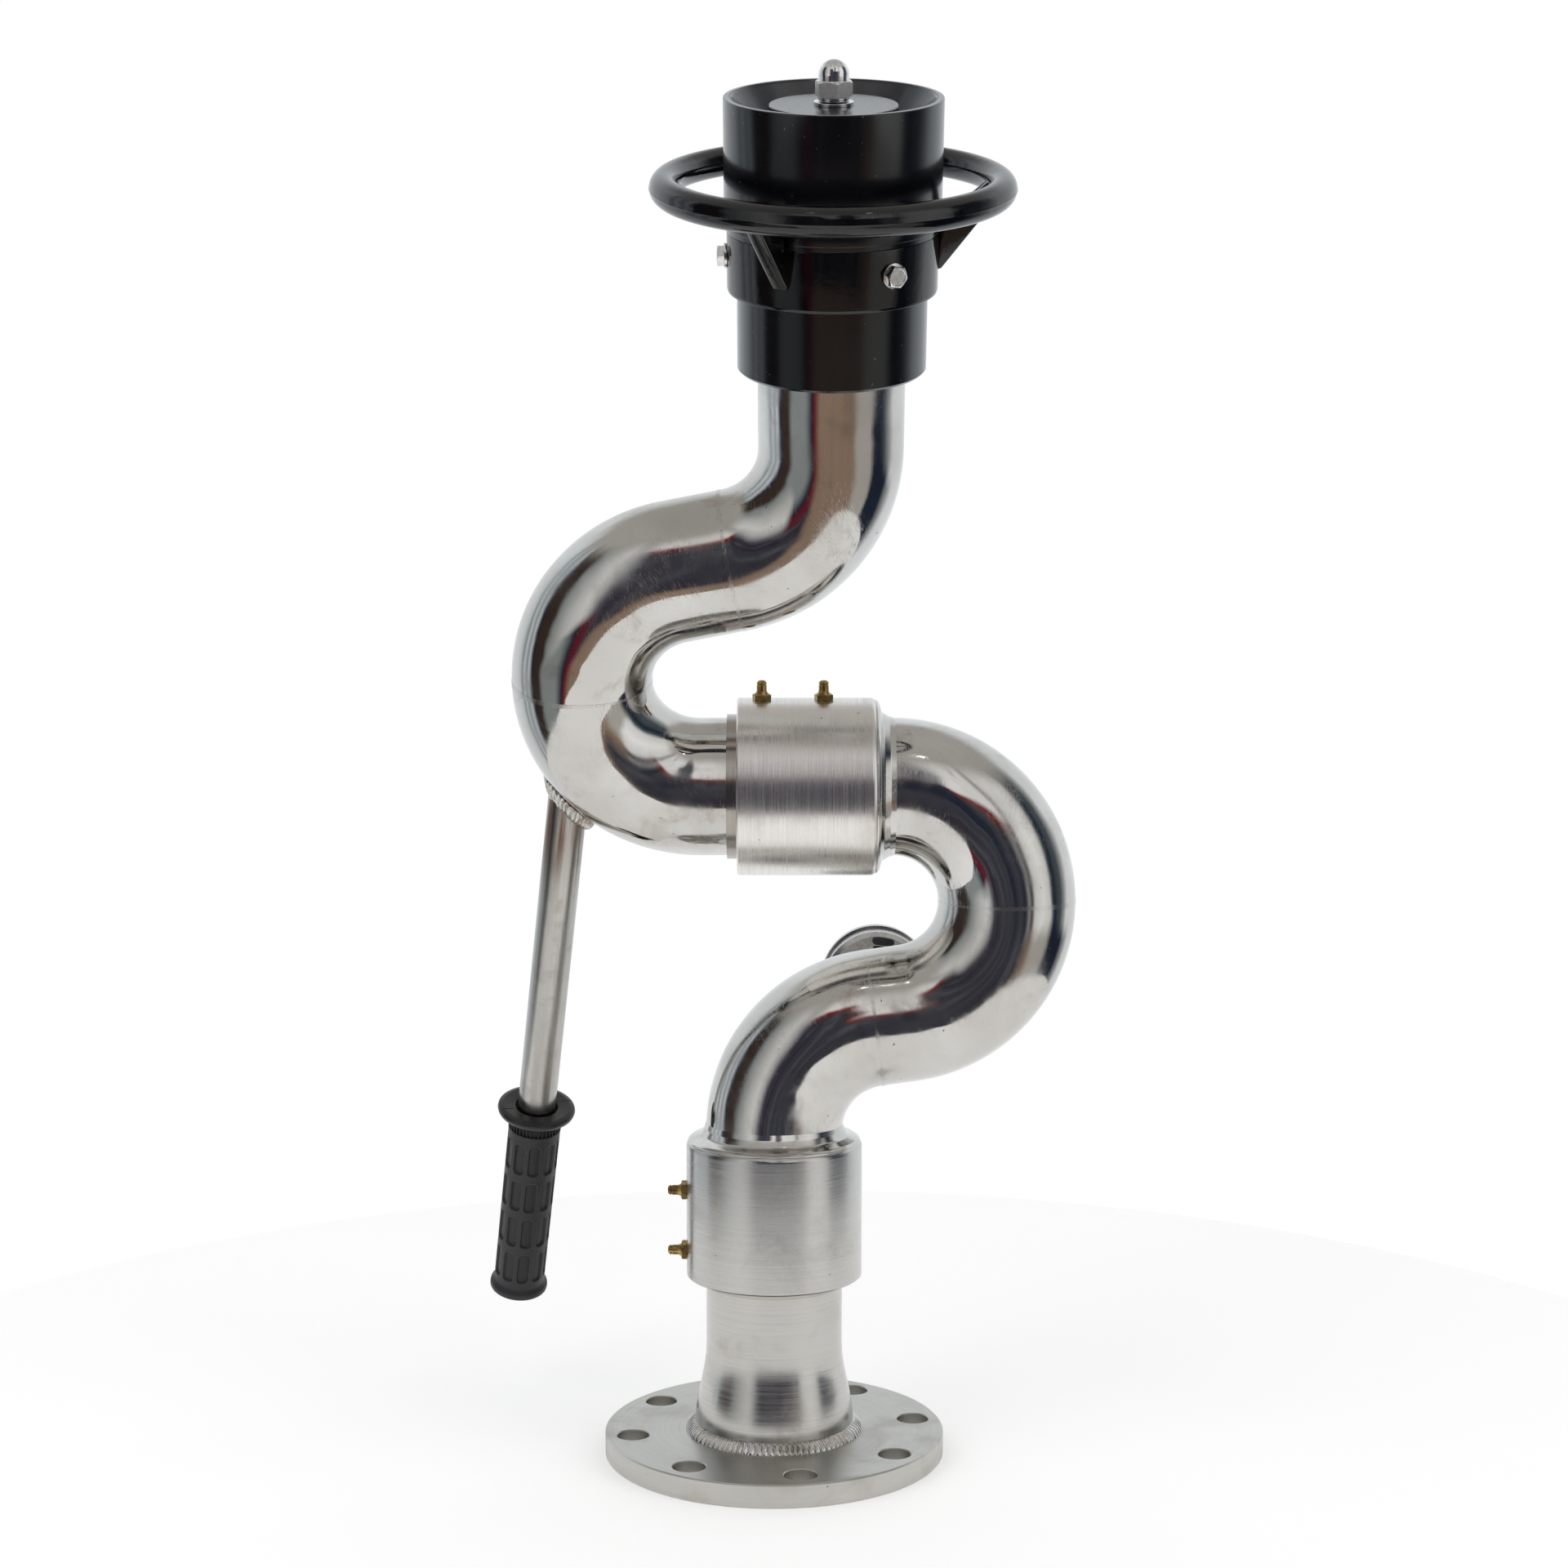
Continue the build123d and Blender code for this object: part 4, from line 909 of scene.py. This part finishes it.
# ---- Nozzle tip: washers and acorn nut ----
def tip_pieces():
    """Acorn nut, flat washer and split spring washer on the disc."""
    bm = bmesh.new()
    tip = NUT_SEAT + NUT_HEIGHT
    hex_top = NUT_SEAT + NUT_HEX
    crown = [(NUT_DOME_R + 0.2, hex_top + 0.05), (NUT_DOME_R, hex_top + 0.3)]
    for a in range(0, 90, 6):
        crown.append((NUT_DOME_R * cos(radians(a)), tip - NUT_DOME_R + NUT_DOME_R * sin(radians(a))))
    crown.append((0, tip))
    hexagon_rings(bm, NUT_FLATS, NUT_SEAT, hex_top, foot_chamfer=True, turn=10, hole=5.0, crown=crown)
    nut = finished(bm, "acorn_nut_domed", nozzle_frame, chrome, "cradle",
                   ["acorn_nut"], 24)
    # The hex flats take the satin material; its paler tone is a painted highlight.
    nut.data.materials.append(flats_satin_highlight)
    for face in nut.data.polygons:
        if face.center.z < (hex_top - 0.4) * MM:
            face.material_index = 1

    bm = bmesh.new()
    bore, outer, thick = 5.1, 10.0, 1.6
    flat = rounded([(bore, DISC_TOP, 0), (outer, DISC_TOP, 0.1), (outer, DISC_TOP + thick, 0.4),
                    (bore, DISC_TOP + thick, 0)], 3, True)
    lathe(bm, flat, 96, True)
    finished(bm, "flat_washer_pressed", nozzle_frame, screw_steel, "cradle",
             ["flat_washer"], 30)

    bm = bmesh.new()
    rings = []
    gap, segments, split_azimuth, lift, middle = 9.0, 96, 102, 0.7, DISC_TOP + 2.7
    section = rounded([(bore, -0.75, 0.15), (7.8, -0.75, 0.25), (7.8, 0.75, 0.25), (bore, 0.75, 0.15)],
                      2, True)
    for step in range(segments + 1):
        azimuth = split_azimuth + gap / 2 + (360 - gap) * step / segments
        rise = lift * (step / segments - 0.5)
        rings.append([bm.verts.new((around(azimuth) * r + Vector((0, 0, middle + h + rise))) * MM)
                      for r, h in section])
    skin(bm, rings)
    bm.faces.new(rings[0][::-1])
    bm.faces.new(rings[-1])
    finished(bm, "spring_washer_split", nozzle_frame, screw_steel, "cradle",
             ["spring_washer"], 30)


tip_pieces()


# ---- Grease nipples ----
def nipples(name, places, body, replaced):
    """Hexagon collar, waisted neck and button head, one at each (origin, direction)."""
    bm = bmesh.new()
    head = rounded([(3.6, 2.9, 0), (3.1, 4.0, 0.5), (2.75, 4.8, 0.4), (2.75, 7.9, 0.2), (2.45, 8.2, 0.1),
                    (2.45, 8.5, 0.1), (2.75, 8.8, 0.2), (2.7, 9.4, 0.3), (1.8, 10.4, 0.4), (0.9, 10.5, 0.1),
                    (0.55, 10.1, 0.1), (0, 10.0)], 3)
    for origin, direction in places:
        place = frame_at(origin, direction, NIPPLE_HEX_HINT)
        hexagon_rings(bm, 9.2, -0.3, 3.0, place, foot_chamfer=True, crown=[(3.0, 3.0)])
        lathe(bm, head, 48, place=place)
    finished(bm, name, base_frame, nipple_brass, body, replaced, 24)


NIPPLE_HEX_HINT = (0.3, 0.2, 0.9)
base_places = [(Vector((-SLEEVE_R, 0, BASE_SLEEVE_Z + place)) * MM, (-1, 0, 0)) for place in NIPPLE_PLACES]
low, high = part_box("elevation_grease_nipples")
middle = (low + high) / 2
tilt = Vector((0, middle.y, middle.z - elevation_centre.z)).normalized()
cross_places = []
for place in NIPPLE_PLACES:
    start = Vector(((ELEVATION_SLEEVE_X + place) * MM, 0, elevation_centre.z))
    cross_places.append((start + tilt * SLEEVE_R * MM, tilt))
nipples("base_nipples_turned", base_places, "turret", ["base_grease_nipples"])
nipples("elevation_nipples_turned", cross_places, "turret", ["elevation_grease_nipples"])


# ---- Gauge dial ----
DIAL_FACE = 91.85
SCALE_START = 225
SCALE_SWEEP = 270
SCALE_R = 25.4
INK_T = 0.06
LABELS = ("0", "4", "8", "12", "16")
LABEL_R = 16.6
LABEL_SIZE = 5.2


def dial_marks():
    """Printed arc, ticks and plain numbers on the dial face, as thin raised ink."""
    bm = bmesh.new()

    def bar(angle, inner, outer, width):
        direction = Vector((cos(angle), sin(angle), 0))
        side = Vector((-direction.y, direction.x, 0)) * width / 2
        corners = [direction * inner - side, direction * inner + side, direction * outer + side,
                   direction * outer - side]
        low, high = [[bm.verts.new((c + Vector((0, 0, height))) * MM) for c in corners]
                     for height in (DIAL_FACE, DIAL_FACE + INK_T)]
        skin(bm, [low, high])
        bm.faces.new(high)
        bm.faces.new(low[::-1])

    divisions = 40
    for tick in range(divisions + 1):
        long_tick = tick % 10 == 0
        middle_tick = tick % 5 == 0
        inner = 20.5 if long_tick else 22.0 if middle_tick else 23.2
        bar(radians(SCALE_START - SCALE_SWEEP * tick / divisions), inner, SCALE_R,
            0.75 if long_tick else 0.35)
    facets = 90
    facet = SCALE_SWEEP / facets
    for step in range(facets):
        bar(radians(SCALE_START - facet * (step + 0.5)), SCALE_R - 0.1, SCALE_R + 0.4,
            (SCALE_R + 0.1) * radians(facet + 0.02))
    finished(bm, "dial_scale", gauge_frame, needle_black, "turret", (), 30)

    for index, label in enumerate(LABELS):
        angle = radians(SCALE_START - SCALE_SWEEP * index / (len(LABELS) - 1))
        text = bpy.data.curves.new("dial_number_" + label, "FONT")
        text.body = label
        text.size = LABEL_SIZE * MM
        text.extrude = INK_T / 2 * MM
        text.align_x = "CENTER"
        text.align_y = "CENTER"
        holder = scene_object("text_holder", text)
        bpy.context.view_layer.update()
        mesh = bpy.data.meshes.new_from_object(holder)
        bpy.data.objects.remove(holder)
        bm = bmesh.new()
        bm.from_mesh(mesh)
        shift = Vector((cos(angle) * LABEL_R, sin(angle) * LABEL_R, DIAL_FACE + INK_T / 2)) * MM
        bmesh.ops.translate(bm, verts=bm.verts, vec=shift)
        finished(bm, "dial_number_" + label, gauge_frame, needle_black, "turret", (), 30)


dial_marks()

# ---- Camera ----
CAMERA_PLACE = (0.0055, -1.418, 0.488)
CAMERA_PITCH = 85.5
LENS = 59.0625

camera_data = bpy.data.cameras.new("camera")
camera_data.sensor_width = 36.0
camera_data.lens = LENS
camera_data.clip_start = 0.05
camera_data.clip_end = 50.0
camera = scene_object("camera", camera_data)
camera.location = CAMERA_PLACE
camera.rotation_euler = (radians(CAMERA_PITCH), 0, 0)
bpy.context.scene.camera = camera


# ---- Floor, light and world ----
FLOOR_R = 620.0
BOX_AIM = (0, 0, 0.4)
SPOT_AIM = (0, 0, 0.45)
SPOT_SIZE = (0.04, 0.04)
SPOT_POWER = 0.1


def floor_piece():
    """A plain pale disc to stand on."""
    bm = bmesh.new()
    lathe(bm, [(0, 0), (300, 0), (FLOOR_R, 0)], 96)
    mesh = bpy.data.meshes.new("studio_floor")
    bm.to_mesh(mesh)
    bm.free()
    made, tree = start_material("studio_floor_white", Specular_IOR_Level=0.1,
                                Emission_Color=(1, 1, 1, 1), Emission_Strength=0.30)
    cloud = noise(tree, local_vector(tree), 3, 3, 0.5)
    colour = mix(tree, cloud, (0.93, 0.93, 0.93), (0.95, 0.95, 0.95))
    mesh.materials.append(wired(made, colour, span(tree, cloud, 0.3, 0.7, 0.7, 0.8)))
    scene_object("studio_floor", mesh)


def area_light(name, place, target, size, power, mirrored=False):
    """A rectangular lamp aimed at target; only a mirrored one shows in reflections."""
    data = bpy.data.lights.new(name, "AREA")
    data.shape = "RECTANGLE"
    data.size, data.size_y = size
    data.energy = power
    lamp = scene_object(name, data)
    lamp.location = place
    lamp.visible_glossy = mirrored
    lamp.rotation_euler = (Vector(place) - Vector(target)).to_track_quat("Z", "Y").to_euler()


def studio_world():
    """White cyclorama with soft boxes, dark gaps between them and a darker room behind the camera."""
    world = bpy.data.worlds.new("studio_world")
    bpy.context.scene.world = world
    world.use_nodes = True
    tree = world.node_tree
    tree.nodes.clear()
    direction = node(tree, "TexCoord").outputs["Generated"]
    x, y, z = node(tree, "SeparateXYZ", {0: direction}).outputs
    turn = maths(tree, "ARCTAN2", x, times(tree, y, -1.0))
    azimuth = add(tree, maths(tree, "DIVIDE", turn, TAU), 0.5)
    rise = add(tree, maths(tree, "DIVIDE", maths(tree, "ARCSINE", z), pi), 0.5)
    warp = maths(tree, "SUBTRACT", noise(tree, direction, 3.0, 1, 0.4), 0.5)
    azimuth = add(tree, azimuth, times(tree, warp, 0.02))
    rise = add(tree, rise, times(tree, warp, 0.05))

    def at_azimuth(value):
        return (value + 180) / 360

    def at_rise(value):
        return (value + 90) / 180

    def bands(value, place, stops):
        return ramp(tree, value, [(place(angle), colour) for angle, colour in stops])

    white, pale, grey = (1.0, 1.0, 1.0), (0.80, 0.80, 0.79), (0.34, 0.36, 0.38)
    back, cool, teal = (0.88, 0.92, 0.95), (0.72, 0.80, 0.86), (0.29, 0.325, 0.33)
    blue, brown, sand = (0.018, 0.025, 0.046), (0.050, 0.034, 0.028), (0.34, 0.24, 0.175)
    slate, haze, ceiling = (0.075, 0.095, 0.11), (0.13, 0.145, 0.18), (0.48, 0.465, 0.445)
    beige, red, warm = (0.42, 0.36, 0.31), (0.20, 0.012, 0.022), (0.50, 0.48, 0.455)
    far_left = ((-180, back), (-132, back), (-121, cool), (-115, grey), (-110, cool), (-104, grey),
                (-99, cool), (-92, blue))

    # Round the room at eye level: the white backdrop, dark gaps, soft boxes and furniture.
    sides = bands(azimuth, at_azimuth, (
        *far_left, (-86, brown), (-73, brown), (-67, teal), (-40, pale), (-28, grey), (-21, red),
        (-14, beige), (20, beige), (26, brown), (32, pale), (37, brown), (42, pale), (58, white),
        (72, pale), (78, slate), (84, blue), (93, slate), (99, slate), (108, grey), (118, back),
        (180, back)))
    # Below eye level the same room ends in a sand-coloured floor.
    under = bands(azimuth, at_azimuth, (
        *far_left, (-87, brown), (-77, brown), (-70, teal), (-47, teal), (-37, blue), (-30, red),
        (-27, red), (-22, sand), (40, sand), (50, warm), (73, warm), (80, blue), (108, blue),
        (118, grey), (130, back), (180, back)))
    # Behind the camera: pale table, sand edge, a dark room and the white ceiling light.
    lifted = times(tree, span(tree, azimuth, at_azimuth(-11), at_azimuth(-3), 0.1, 0, True),
                   span(tree, rise, at_rise(0), at_rise(12), 0, 1, True))
    front = bands(maths(tree, "SUBTRACT", rise, lifted), at_rise, (
        (-90, pale), (-50, pale), (-46.5, sand), (-33, sand), (-28, blue), (7, blue), (10.5, brown),
        (12.5, red), (14, red), (17, white), (90, white)))
    streak_place = node(tree, "CombineXYZ", {0: times(tree, azimuth, 90.0), 1: times(tree, rise, 6.0)})
    streaks = noise(tree, streak_place.outputs[0], 1.0, 4, 0.6)
    front = mix(tree, span(tree, streaks, 0.5, 0.68, 0, 0.6), front, haze)
    facing = times(tree, span(tree, azimuth, at_azimuth(-34), at_azimuth(-22), 0, 1, True),
                   span(tree, azimuth, at_azimuth(24), at_azimuth(46), 1, 0, True))

    sides = mix(tree, span(tree, rise, at_rise(-18), at_rise(-11), 1, 0, True), sides, under)
    colour = mix(tree, times(tree, facing, 0.92), sides, front)
    # The camera and its stand, a dark upright shape.
    across = maths(tree, "DIVIDE", maths(tree, "SUBTRACT", azimuth, at_azimuth(8)), 6 / 360)
    up = maths(tree, "DIVIDE", maths(tree, "SUBTRACT", rise, at_rise(20)), 34 / 180)
    reach = add(tree, times(tree, across, across), times(tree, up, up))
    colour = mix(tree, span(tree, reach, 0.6, 1.3, 0.9, 0, True), colour, blue)
    colour = mix(tree, span(tree, rise, at_rise(36), at_rise(52), 0, 1, True), colour, ceiling)
    seen = node(tree, "LightPath").outputs["Is Camera Ray"]
    colour = mix(tree, seen, colour, white)
    backdrop = node(tree, "Background", {"Color": colour, "Strength": 1.0}).outputs[0]
    node(tree, "OutputWorld", {"Surface": backdrop})


floor_piece()
area_light("key_soft_box", (-1.7, -1.1, 2.0), BOX_AIM, (2.5, 2.5), 19)
area_light("fill_soft_box", (1.9, -0.7, 1.7), BOX_AIM, (1.9, 2.4), 11)
area_light("spot_left", (-0.26, -1.15, 2.35), SPOT_AIM, SPOT_SIZE, SPOT_POWER, True)
area_light("spot_right", (0.52, -1.2, 2.2), SPOT_AIM, SPOT_SIZE, SPOT_POWER, True)
studio_world()
bpy.context.scene.view_settings.view_transform = "Standard"
